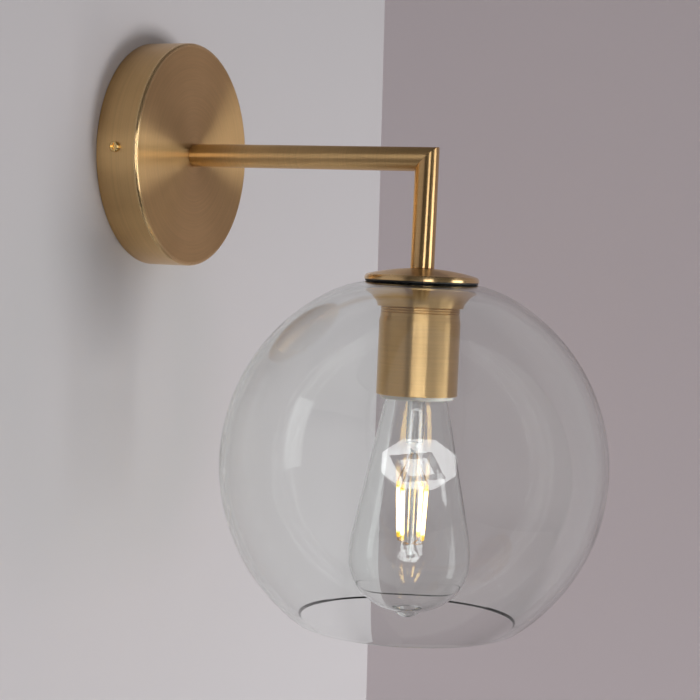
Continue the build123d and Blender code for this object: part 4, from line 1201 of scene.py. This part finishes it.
@dataclass
class GlobeShade(SubAssembly):
    """Blown globe with a flatter crown and a fire-polished mouth, and the ring that carries it."""

    body: ClassVar[Body] = Body.SHADE
    radius: float = 100.0
    wall: float = 2.6
    crown_radius: float = 68.0
    crown_angle: float = 30.0
    hole_radius: float = 21.4
    mouth_radius: float = 58.2
    polish: float = 0.9
    ring_top: float = 28.5
    ring_bottom: float = 21.9
    ring_bore: float = 20.48
    ring_height: float = 9.2
    ring_edge: float = 0.25
    ring_lip: float = 0.7
    ring_nick: Pair = (0.12, 0.1)
    ring_foot: Pair = (0.1, 0.15)
    ring_sag: float = 1.15
    gasket_in: float = 22.3
    gasket_out: float = 27.7

    def _globe(self) -> None:
        """Builds the glass."""
        mouth = low("globe_glass")
        centre = mouth + math.sqrt(self.radius**2 - self.mouth_radius**2)
        offset, lean = self.radius - self.crown_radius, math.radians(self.crown_angle)
        crown = (offset * math.sin(lean), centre + offset * math.cos(lean))
        inner = self.radius - self.wall

        def crown_start(size: float) -> Point:
            """Level and angle from the vertical of a crown arc at the neck hole."""
            share = (self.hole_radius - crown[0]) / size
            return crown[1] + size * math.sqrt(1 - share**2), math.degrees(math.asin(share))

        def lip(size: float, inward: float) -> tuple[Point, float]:
            """Finds the arc that polishes the mouth's edge.

            Args:
                size: radius of the sphere that it runs into.
                inward: 1 on the inner skin, -1 on the outer one.

            Returns:
                Its centre, and the angle from the vertical at which the sphere ends.
            """
            level, reach = mouth + self.polish, size + inward * self.polish
            place = (math.sqrt(reach**2 - (centre - level) ** 2), level)
            return place, 90 + math.degrees(math.asin((centre - level) / reach))

        outer_level, outer_angle = crown_start(self.crown_radius)
        inner_angle = crown_start(self.crown_radius - self.wall)[1]
        (out_lip, out_end), (in_lip, in_end) = lip(self.radius, -1), lip(inner, 1)
        outline = Outline(self.hole_radius, outer_level)
        outline.turn(crown, self.crown_angle - outer_angle, pace=1.5)
        outline.turn((0, centre), out_end - self.crown_angle, pace=1.5)
        outline.turn(out_lip, 180 - out_end, pace=6).to(in_lip[0], mouth).turn(in_lip, in_end, pace=12)
        outline.turn((0, centre), self.crown_angle - in_end, pace=1.5)
        outline.turn(crown, inner_angle - self.crown_angle, pace=1.5).close()
        self.stand(outline.spin(192), "globe_blown", "clear_glass", "globe_glass", sharp=60.0)

    def _ring(self) -> None:
        """Builds the flared ring."""
        bottom, seat = low("shade_ring"), high("shade_ring")
        top = bottom + self.ring_height
        corner = (self.ring_top - self.ring_edge, top - self.ring_edge)
        outline = Outline(self.gasket_out, top).to(corner[0], top).turn(corner, 90, pace=30, worn=True)
        (nick_in, nick_up), (foot_out, foot_up) = self.ring_nick, self.ring_foot
        outline.to(self.ring_top, top - self.ring_lip + nick_up)
        outline.to(self.ring_top - nick_in, top - self.ring_lip)
        outline.round_to(self.ring_bottom + foot_out, bottom + foot_up, -self.ring_sag, steps=16)
        outline.to(self.ring_bottom - foot_out, bottom).to(self.ring_bore, bottom)
        outline.to(self.ring_bore, seat).to(self.gasket_in, seat).close()
        self.stand(outline.spin(128), "ring_flared", "satin_brass", "shade_ring")

    def build(self) -> None:
        """Builds the glass and the ring."""
        self._globe()
        self._ring()


@dataclass
class FilamentBulb(SubAssembly):
    """Pear-shaped clear bulb with a stem, wires and four lit filament sticks.

    A wire's points are steps outwards and upwards: of a lead from the side of the press's lower end
    and from the stick's top, of an anchor from the rod's skin and from the stick's bottom.
    """

    body: ClassVar[Body] = Body.BULB
    radius: float = 31.5
    neck_radius: float = 17.2
    neck_sag: float = 1.35
    taper: float = 11.5
    belly_radius: float = 60.0
    shoulder_radius: float = 27.4
    end_radius: float = 46.0
    wall: float = 0.8
    seal_radius: float = 11.4
    seal_depth: float = 1.8
    nub_radius: float = 7.3
    nub_height: float = 3.1
    nub_waist: Pair = (0.62, 0.28)
    nub_sags: Pair = (0.16, 0.34)
    nub_wall: float = 1.3
    dip_radius: float = 4.2
    dip_sag: float = 0.7
    stem_radius: float = 4.6
    stem_wall: float = 0.8
    stem_fit: float = 0.05
    flare_length: float = 9.0
    flare_sag: float = 1.1
    tube_length: float = 20.0
    press_width: float = 9.0
    press_thickness: float = 3.2
    press_height: float = 6.0
    press_edge: float = 0.5
    rod_radius: float = 1.6
    rod_length: float = 55.0
    rod_root: float = 0.4
    filament_radius: float = 1.0
    top_circle: float = 8.9
    bottom_circle: float = 7.4
    end_inset: float = 0.03
    count: int = 4
    first_angle: float = -11.5
    dark_end: float = 1.0
    lit_margin: float = 3.4
    wire_radius: float = 0.3
    lead_from_press: tuple[Point, Point] = ((0.0, 1.2), (0.8, -2.4))
    lead_to_stick: tuple[Point, Point] = ((-1.2, 3.2), (0.0, 0.6))
    anchor_drop: float = 2.6
    anchor_from_rod: tuple[Point, Point] = ((-0.2, 0.5), (2.4, 0.3))
    anchor_to_stick: tuple[Point, Point] = ((0.0, -1.2), (0.0, 0.0))
    tab_size: tuple[float, float, float] = (1.1, 0.35, 2.2)
    tab_edge: float = 0.1
    tab_shift: float = 0.55

    def _seal_top(self) -> float:
        """Level at which the neck's glass is sealed in the cap."""
        return low("bulb_cap") + self.seal_depth

    def _press_bottom(self) -> float:
        """Level of the stem's lower end."""
        return self._seal_top() - self.flare_length - self.tube_length - self.press_height

    def _envelope(self) -> None:
        """Builds the glass."""
        cap_low, seal_top = low("bulb_cap"), self._seal_top()
        end = (0, low("bulb_glass") + self.end_radius + self.nub_height)
        side, shoulder_reach = self.radius - self.shoulder_radius, self.end_radius - self.shoulder_radius
        shoulder = (side, end[1] - math.sqrt(shoulder_reach**2 - side**2))
        end_half = math.degrees(math.asin(side / shoulder_reach))
        belly = (self.radius - self.belly_radius, shoulder[1])
        nub_low = end[1] - self.end_radius - self.nub_height
        lean = math.radians(self.taper)

        def taper_top(inset: float) -> Point:
            """Point where the belly's curve runs into the taper."""
            size = self.belly_radius - inset
            return belly[0] + size * math.cos(lean), belly[1] + size * math.sin(lean)

        def neck(inset: float) -> Point:
            """Point where the neck's curve runs into the taper."""
            end_r, end_z = taper_top(inset)
            return self.neck_radius - inset, end_z + (end_r - self.neck_radius + inset) / math.tan(lean)

        outline = Outline(self.seal_radius, seal_top).to(self.seal_radius, cap_low)
        outline.round_to(*neck(0.0), self.neck_sag, steps=10).to(*taper_top(0.0))
        outline.turn(belly, self.taper, pace=1.5).turn(shoulder, 90 - end_half, pace=3)
        nub_angle = math.degrees(math.asin(self.nub_radius / self.end_radius))
        outline.turn(end, end_half - nub_angle, pace=1.5)
        waist = (self.nub_radius * self.nub_waist[0], nub_low + self.nub_height * self.nub_waist[1])
        outline.round_to(*waist, self.nub_sags[0], steps=4).round_to(0.0, nub_low, self.nub_sags[1], steps=5)
        inner_end = self.end_radius - self.wall
        dip_angle = math.degrees(math.asin(self.dip_radius / inner_end))
        dip_level = end[1] - math.sqrt(inner_end**2 - self.dip_radius**2)
        back = Outline(0.0, nub_low + self.nub_wall)
        back.round_to(self.dip_radius, dip_level, -self.dip_sag, steps=6)
        back.turn(end, dip_angle - end_half, pace=1.5).turn(shoulder, end_half - 90, pace=3)
        back.turn(belly, -self.taper, pace=1.5).to(*neck(self.wall))
        back.round_to(self.seal_radius - self.wall, cap_low, -self.neck_sag, steps=10)
        back.to(self.seal_radius - self.wall, seal_top).to(self.seal_radius, seal_top)
        mesh = outline.spin(128)
        add_mesh(mesh, back.spin(128))
        self.stand(sealed(mesh, 1e-3), "bulb_envelope", "bulb_envelope", "bulb_glass", sharp=50.0)

    def _press(self, top: float, bottom: float) -> bmesh.types.BMesh:
        """Builds the flat press at the stem's lower end.

        Args:
            top: level of its round upper end.
            bottom: level of its flattened lower end.

        Returns:
            A closed mesh in millimetres.
        """
        press = bmesh.new()
        upper = bmesh.ops.create_circle(press, segments=48, radius=self.stem_radius)["verts"]
        bmesh.ops.translate(press, verts=upper, vec=(0, 0, top))
        lower = bmesh.ops.create_circle(press, segments=48, radius=1.0)["verts"]
        bmesh.ops.scale(press, verts=lower, vec=(self.press_width / 2, self.press_thickness / 2, 1.0))
        bmesh.ops.translate(press, verts=lower, vec=(0, 0, bottom))
        bmesh.ops.bridge_loops(press, edges=press.edges[:])
        bmesh.ops.holes_fill(press, edges=press.edges[:])
        level = [edge for edge in press.edges if abs(edge.verts[0].co.z - edge.verts[1].co.z) < 1e-4]
        soften(press, level, self.press_edge, segments=3)
        bmesh.ops.recalc_face_normals(press, faces=press.faces)
        return press

    def _stem(self) -> None:
        """Builds the flare, tube, press and rod."""
        top = self._seal_top()
        flare_end = top - self.flare_length
        press_top = flare_end - self.tube_length
        press_bottom = self._press_bottom()
        seat = self.seal_radius - self.wall - self.stem_fit
        bore = self.stem_radius - self.stem_wall
        flare = Outline(seat, top).round_to(self.stem_radius, flare_end, -self.flare_sag, steps=10)
        flare.to(self.stem_radius, press_top).to(bore, press_top).to(bore, flare_end)
        flare.round_to(seat - self.stem_wall, top, self.flare_sag, steps=10).close()
        mesh = flare.spin(64)
        add_mesh(mesh, self._press(press_top, press_bottom))
        rod_end = press_bottom - self.rod_length + self.rod_radius
        rod = Outline(0.0, press_bottom + self.rod_root).to(self.rod_radius, press_bottom + self.rod_root)
        rod.to(self.rod_radius, rod_end).turn((0.0, rod_end), 90, pace=15)
        add_mesh(mesh, rod.spin(32))
        self.stand(mesh, "stem_glass", "bulb_envelope", "bulb_stem", sharp=50.0)

    def _ends(self, index: int) -> tuple[Vector, Vector, Vector]:
        """Finds where a filament stands.

        Args:
            index: number of the filament.

        Returns:
            Top and bottom of its axis, and the way outwards.
        """
        angle = math.radians(self.first_angle + index * 360 / self.count)
        out = Vector((math.cos(angle), math.sin(angle), 0.0))
        top = Vector((0, 0, high("bulb_filaments") - self.end_inset))
        bottom = Vector((0, 0, low("bulb_filaments") + self.end_inset))
        return out * self.top_circle + top, out * self.bottom_circle + bottom, out

    def _filaments(self) -> None:
        """Builds the sticks."""
        mesh = bmesh.new()
        size = self.filament_radius
        for index in range(self.count):
            top, bottom, _ = self._ends(index)
            length = (bottom - top).length
            stick = Outline(0.0, 0.0).turn((0.0, -size), 90, pace=15)
            stick.to(size, size - length, hold=self.lit_margin).turn((0.0, size - length), 90, pace=15)
            skin = stick.spin(24)
            glow = skin.verts.layers.float.new(GLOW)
            for vert in skin.verts:
                from_end = min(-vert.co.z, vert.co.z + length) - self.dark_end
                vert[glow] = max(0.0, min(1.0, from_end / (self.lit_margin - self.dark_end)))
            lean = Vector((0, 0, 1)).rotation_difference(top - bottom).to_matrix().to_4x4()
            skin.transform(Matrix.Translation(top) @ lean)
            add_mesh(mesh, skin)
        self.stand(mesh, "filament_sticks", "filament_coat", "bulb_filaments")

    def _tab(self, place: Vector, out: Vector) -> bmesh.types.BMesh:
        """Builds the flat tab welded to a stick's end.

        Args:
            place: its middle.
            out: way outwards from the lamp's axis.

        Returns:
            A closed mesh in millimetres.
        """
        tab = bmesh.new()
        bmesh.ops.create_cube(tab, size=1.0)
        bmesh.ops.scale(tab, verts=tab.verts, vec=self.tab_size)
        soften(tab, tab.edges[:], self.tab_edge, segments=1)
        tab.transform(Matrix.Translation(place) @ Matrix.Rotation(math.atan2(out.y, out.x), 4, "Z"))
        return tab

    def _wires(self) -> None:
        """Builds the wires that carry the sticks, with a flat tab at each stick's end."""
        press_side = (self.press_thickness / 2, self._press_bottom())
        rod_side = (self.rod_radius, low("bulb_filaments") - self.anchor_drop)
        mesh = bmesh.new()
        for index in range(self.count):
            top, bottom, out = self._ends(index)
            for side, first, stick_end, last in (
                (press_side, self.lead_from_press, top, self.lead_to_stick),
                (rod_side, self.anchor_from_rod, bottom, self.anchor_to_stick),
            ):
                root = out * side[0] + Vector((0, 0, side[1]))
                points = [root + out * away + Vector((0, 0, up)) for away, up in first]
                points += [stick_end + out * away + Vector((0, 0, up)) for away, up in last]
                add_mesh(mesh, wire_run(points, self.wire_radius))
            add_mesh(mesh, self._tab(top + Vector((0, 0, self.tab_shift)), out))
            add_mesh(mesh, self._tab(bottom - Vector((0, 0, self.tab_shift)), out))
        self.stand(mesh, "filament_wires", "wire", "bulb_wires")

    def build(self) -> None:
        """Builds the bulb's glass, stem, sticks and wires."""
        self._envelope()
        self._stem()
        self._filaments()
        self._wires()


@dataclass
class Hardware:
    """Frame nodes, dressed in the finishes of their slots."""

    finishes: Finishes
    unwrapped: ClassVar[dict[str, str]] = {"satin_brass": "bright_brass"}

    def dress(self) -> None:
        """Gives every frame node its finish, and one that needs no UV map where it has none."""
        for part in frame["record"]["subparts"]:
            slot = part["material_slot"]
            material = self.finishes[self.unwrapped.get(slot, slot)]
            node = frame["nodes"][part["node"]]
            node.data.materials.clear()
            node.data.materials.append(material)
            log.info("frame node %s: %s", part["node"], material.name)


# ---------------------------------------------------------------- room, light and camera


class Panel(Enum):
    """Number of sides of a soft light."""

    PLAIN = 4
    OCTAGON = 8


@dataclass(frozen=True)
class Card:
    """A soft light: a flat one-sided lit panel."""

    name: str
    towards: Direction
    distance: float
    width: float
    height: float
    in_metal: float
    in_glass: float
    panel: Panel = Panel.PLAIN
    past_outer_glass: bool = False


@dataclass(frozen=True)
class Wall:
    """A painted panel of the room."""

    name: str
    colour: Colour
    lift: float
    half_width: float


@dataclass
class Studio:
    """Two walls, a floor, soft lights and the camera."""

    aim: Vector = field(default_factory=lambda: Vector((0.0, -0.16, -0.13)))
    back: Wall = Wall("wall_back", (0.55, 0.525, 0.54), lift=0.0, half_width=2.0)
    back_gap: float = 0.0003
    back_end: float = 0.45
    side: Wall = Wall("wall_side", (0.665, 0.59, 0.62), lift=0.12, half_width=2.0)
    side_place: float = 0.312
    side_lean: float = -2.4
    side_end: float = 0.75
    floor: Wall = Wall("floor", (0.70, 0.68, 0.66), lift=0.4, half_width=1.6)
    floor_centre: Spot = (-0.2, -1.2, -1.4)
    paint_roughness: float = 0.9
    paint_sheen: float = 0.1
    mottle: float = 0.03
    mottle_scale: float = 3.0
    wall_gain: float = 1.3
    wall_span: float = 0.7
    # painted shade on the walls and floor: a level by height that is darkest low down and high up, and darker
    # far off
    painted_shade_levels: tuple[Pair, ...] = (
        (-0.62, 0.10), (-0.47, 0.95), (-0.35, 1.0), (0.10, 0.85), (0.18, 0.82), (0.45, 0.30),
    )
    far_shade_span: Pair = (-0.42, -0.85)
    far_shade_share: float = 0.35
    seen_shade_through_glass: float = 0.5
    open_patch: float = 0.057
    cards: tuple[Card, ...] = (
        Card("soft_box", (-0.901, -0.417, 0.128), 1.9, 1.42, 0.92, 0.0, 5.0, panel=Panel.OCTAGON),
        Card("key_panel", (-0.815, -0.58, 0.05), 1.9, 0.56, 1.1, 4.6, 0.0),
        Card("side_panel", (0.139, -0.96, -0.25), 1.1, 0.52, 1.5, 4.2, 0.0),
        Card("floor_panel", (-0.1, -0.5, -0.86), 1.2, 0.7, 0.5, 2.0, 0.0),
        Card("side_strip", (0.33, -0.94, -0.25), 1.05, 0.28, 0.62, 0.0, 1.7, past_outer_glass=True),
        Card("low_box", (0.44, -0.52, -0.735), 1.1, 0.2, 0.16, 0.0, 4.0),
        Card("back_panel", (0.0, 1.0, 0.12), 1.3, 1.6, 1.2, 0.9, 0.0),
    )
    outer_glass_walls: float = 3.0
    frame_centre: Point = (0.03, -0.13)
    frame_diagonals: Pair = (0.86, 0.71)
    frame_turn: float = 29.0
    frame_inner: float = 0.6
    lamp_towards: Direction = (0.26, -0.94, -0.2)
    lamp_distance: float = 1.8
    lamp_size: float = 0.7
    lamp_energy: float = 19.0
    sky_around: Stops = (
        (0.30, (0.10, 0.095, 0.095)), (0.50, (0.17, 0.165, 0.165)), (0.64, (0.11, 0.105, 0.105)),
    )
    sky_through: Stops = (
        (0.30, (0.10, 0.10, 0.10)), (0.40, (0.55, 0.53, 0.53)), (0.9, (0.62, 0.60, 0.60)),
    )
    sky_on_paint: Colour = (0.30, 0.295, 0.295)
    sky_seen: Colour = (0.60, 0.58, 0.58)
    eye: Spot = (-0.8064, -0.4827, -0.0507)
    eye_right: Direction = (0.410625, -0.910813, 0.042507)
    eye_up: Direction = (0.033381, 0.061604, 0.997542)
    eye_back: Direction = (-0.911193, -0.408197, 0.0556996)
    sensor: float = 36.0
    lens: float = 87.017

    def _hung(self, towards: Direction, distance: float, front: str) -> Matrix:
        """Finds the place of a light that faces the fitting.

        Args:
            towards: way from the fitting to the light.
            distance: distance from the fitting.
            front: axis of the light that points away from the fitting.

        Returns:
            Its matrix.
        """
        way = Vector(towards).normalized()
        turn = way.to_track_quat(front, "Y").to_matrix().to_4x4()
        return Matrix.Translation(self.aim + way * distance) @ turn

    def _lit(self, card: Card) -> bpy.types.Material:
        """Material of a lit panel, unseen straight through the glass.

        Args:
            card: the panel.

        Returns:
            The material.
        """
        material, bench, shader, output = new_material(card.name)
        material.node_tree.nodes.remove(shader)
        ray = bench.add("LightPath")
        sharp = ray.outputs["Is Singular Ray"]
        unreflected = bench.math("SUBTRACT", 1.0, ray.outputs["Glossy Depth"], clamp=True)
        unseen = bench.math("MULTIPLY", unreflected, ray.outputs["Is Transmission Ray"])
        unseen = bench.math("MAXIMUM", unseen, bench.add("NewGeometry").outputs["Backfacing"])
        if card.past_outer_glass:
            outer = bench.math("LESS_THAN", ray.outputs["Transmission Depth"], self.outer_glass_walls)
            unseen = bench.math("MAXIMUM", unseen, bench.math("MULTIPLY", outer, sharp))
        if card.in_glass == 0.0:
            unseen = bench.math("MAXIMUM", unseen, sharp)
        if card.in_metal == 0.0:
            unseen = bench.math("MAXIMUM", unseen, bench.math("SUBTRACT", 1.0, sharp))
        glow = bench.feed(bench.add("Emission"), Strength=max(card.in_metal, card.in_glass))
        bench.clear_where(unseen, glow.outputs["Emission"], output)
        material.cycles.emission_sampling = "NONE"
        return material

    def _card_shape(self, card: Card) -> bmesh.types.BMesh:
        """Draws a flat panel in the XY plane, the eight-sided one with a dark frame in it.

        Args:
            card: the panel.

        Returns:
            Its mesh, two units wide and high.
        """
        mesh = bmesh.new()
        corners = card.panel.value
        half_step = math.pi / corners
        bmesh.ops.create_circle(
            mesh, cap_ends=card.panel is Panel.PLAIN, segments=corners, radius=1 / math.cos(half_step),
        )
        bmesh.ops.rotate(
            mesh, verts=mesh.verts, matrix=Matrix.Rotation(half_step, 3, "Z"), cent=(0, 0, 0)
        )
        if card.panel is Panel.OCTAGON:
            turn = Matrix.Rotation(math.radians(self.frame_turn), 4, "Z")
            place = Matrix.Translation((*self.frame_centre, 0)) @ turn
            wide, tall = self.frame_diagonals
            for share, filled in ((1.0, False), (self.frame_inner, True)):
                size = Matrix.Diagonal((wide * share, tall * share, 1, 1))
                bmesh.ops.create_circle(mesh, cap_ends=filled, segments=4, radius=1.0, matrix=place @ size)
                if not filled:
                    bmesh.ops.triangle_fill(mesh, use_beauty=True, edges=mesh.edges[:])
        return mesh

    def _set_up(self, mesh: bmesh.types.BMesh, name: str, material: bpy.types.Material) -> bpy.types.Object:
        """Sets a panel up in the room, where it throws no shadow and no light of its own.

        Args:
            mesh: mesh in metres, freed here.
            name: name of the panel.
            material: its paint or light.

        Returns:
            The object.
        """
        data = written(mesh, name)
        data.materials.append(material)
        panel = in_scene(data)
        panel.visible_shadow = False
        panel.visible_diffuse = False
        return panel

    def _card(self, card: Card) -> None:
        """Hangs a lit panel that faces the light fitting.

        Args:
            card: the panel.
        """
        mesh = self._card_shape(card)
        bmesh.ops.scale(mesh, verts=mesh.verts, vec=(card.width / 2, card.height / 2, 1.0))
        mesh.transform(self._hung(card.towards, card.distance, "-Z"))
        mesh.normal_update()
        away = Vector(card.towards)
        bmesh.ops.reverse_faces(mesh, faces=[face for face in mesh.faces if face.normal.dot(away) > 0])
        self._set_up(mesh, card.name, self._lit(card)).visible_camera = False

    def _lamp(self) -> None:
        """Hangs the large soft lamp that lights the room's paint and casts the soft shadow."""
        data = bpy.data.lights.new("room_lamp", "AREA")
        data.shape = "SQUARE"
        data.size = self.lamp_size
        data.energy = self.lamp_energy
        lamp = in_scene(data)
        lamp.matrix_world = self._hung(self.lamp_towards, self.lamp_distance, "Z")
        lamp.visible_camera = False
        lamp.visible_glossy = False
        lamp.visible_transmission = False

    def _plaster(self, wall: Wall) -> bpy.types.Material:
        """One-sided plaster with painted shade, darker low down, high up and far off, and open behind the
        wall rose.

        The camera sees a milder painted shade that is darker towards the top and not darker far off, and rays
        through the glass see it in part.

        Args:
            wall: the panel.

        Returns:
            The material.
        """
        material, bench, shader, output = new_material(wall.name)
        place = bench.add("TexCoord").outputs["Object"]
        shares = (1 - self.mottle, 1 + self.mottle)
        dull, pale = (tuple(part * share for part in wall.colour) for share in shares)
        tone = bench.blend(bench.noise(place, self.mottle_scale, 3.0), dull, pale)
        height = bench.feed(
            bench.add("MapRange"), Value=bench.axis(place, "Z"), From_Min=-self.wall_span,
            From_Max=self.wall_span,
        ).outputs["Result"]
        # Painted shade: reflections see the full levels, which darken the plaster low down, high up and far
        # off. The camera sees only the milder middle levels.
        reflected_shade, seen_shade = (
            bench.ramp(height, [
                ((level + self.wall_span) / (2 * self.wall_span), (share,) * 3) for level, share in levels
            ])
            for levels in (self.painted_shade_levels, self.painted_shade_levels[1:-1])
        )
        away = bench.feed(
            bench.add("MapRange"), Value=bench.axis(place, "X"), From_Min=self.far_shade_span[0],
            From_Max=self.far_shade_span[1], To_Min=self.wall_gain, To_Max=self.wall_gain * self.far_shade_share,
        ).outputs["Result"]
        level = bench.math("MULTIPLY", reflected_shade, away)
        seen_shade = bench.math("MULTIPLY", seen_shade, self.wall_gain)
        ray = bench.add("LightPath")
        seen = bench.math(
            "MULTIPLY_ADD", ray.outputs["Is Transmission Ray"], self.seen_shade_through_glass,
            ray.outputs["Is Camera Ray"], clamp=True,
        )
        level = bench.math("MULTIPLY_ADD", bench.math("SUBTRACT", seen_shade, level), seen, level)
        tone = bench.scale(tone, level)
        bench.feed(
            shader, Base_Color=tone, Roughness=self.paint_roughness, Specular_IOR_Level=self.paint_sheen,
            Emission_Color=tone, Emission_Strength=wall.lift,
        )
        reach = bench.add("VectorMath", operation="LENGTH")
        bench.give(reach.inputs[0], place)
        clear = bench.math("LESS_THAN", reach.outputs["Value"], self.open_patch)
        clear = bench.math("MAXIMUM", clear, bench.add("NewGeometry").outputs["Backfacing"])
        bench.clear_where(clear, shader.outputs["BSDF"], output)
        return material

    def _wall(self, wall: Wall, place: Matrix) -> None:
        """Sets up a wall or the floor.

        Args:
            wall: the panel.
            place: matrix from the XY plane, facing +Z, to its place.
        """
        mesh = bmesh.new()
        bmesh.ops.create_grid(mesh, x_segments=1, y_segments=1, size=wall.half_width)
        mesh.transform(place)
        self._set_up(mesh, wall.name, self._plaster(wall))

    def _walls(self) -> None:
        """Sets up both walls and the floor."""
        face_out = Matrix.Rotation(math.radians(90), 4, "X")
        back_centre = (self.back_end - self.back.half_width, self.back_gap, 0)
        self._wall(self.back, Matrix.Translation(back_centre) @ face_out)
        lean = Matrix.Rotation(math.radians(self.side_lean), 4, "Y")
        face_in = lean @ Matrix.Rotation(math.radians(-90), 4, "Y")
        side_centre = (self.side_place, self.side.half_width - self.side_end, 0)
        self._wall(self.side, Matrix.Translation(side_centre) @ face_in)
        self._wall(self.floor, Matrix.Translation(self.floor_centre))

    def _world(self) -> None:
        """Even surrounding light, paler where the camera looks straight at it."""
        world = bpy.data.worlds.new("room")
        world.use_nodes = True
        bpy.context.scene.world = world
        bench = Bench(world.node_tree)
        ray = bench.add("LightPath")
        seen = bench.math("ADD", ray.outputs["Is Camera Ray"], ray.outputs["Is Transmission Ray"], clamp=True)
        level = bench.axis(bench.add("TexCoord").outputs["Generated"], "Z")
        level = bench.math("MULTIPLY_ADD", level, 0.5, 0.5)
        around = bench.ramp(level, self.sky_around)
        around = bench.blend(ray.outputs["Is Diffuse Ray"], around, self.sky_on_paint)
        colour = bench.blend(seen, around, bench.ramp(level, self.sky_through))
        colour = bench.blend(ray.outputs["Is Camera Ray"], colour, self.sky_seen)
        bench.feed(world.node_tree.nodes["Background"], Color=colour, Strength=1.0)

    def _camera(self) -> None:
        """Sets the camera at the photograph's place and angle."""
        data = bpy.data.cameras.new("camera")
        data.sensor_width = self.sensor
        data.lens = self.lens
        camera = in_scene(data)
        turn = Matrix((self.eye_right, self.eye_up, self.eye_back)).transposed().to_4x4()
        camera.matrix_world = Matrix.Translation(self.eye) @ turn
        bpy.context.scene.camera = camera

    def build(self) -> None:
        """Builds the room, hangs the lights and sets the camera."""
        self._walls()
        for card in self.cards:
            self._card(card)
        self._lamp()
        self._world()
        self._camera()
        bpy.context.scene.view_settings.view_transform = "Standard"


def main() -> None:
    """Builds the light, its room and its camera."""
    logging.basicConfig(level=logging.INFO, format="%(name)s: %(message)s")
    finishes = Finishes()
    Hardware(finishes).dress()
    for kind in (WallRose, Arm, DomeCap, LampCup, GlobeShade, FilamentBulb):
        kind(finishes).build()
        log.info("built %s", kind.__name__)
    Studio().build()


if __name__ == "__main__":
    main()
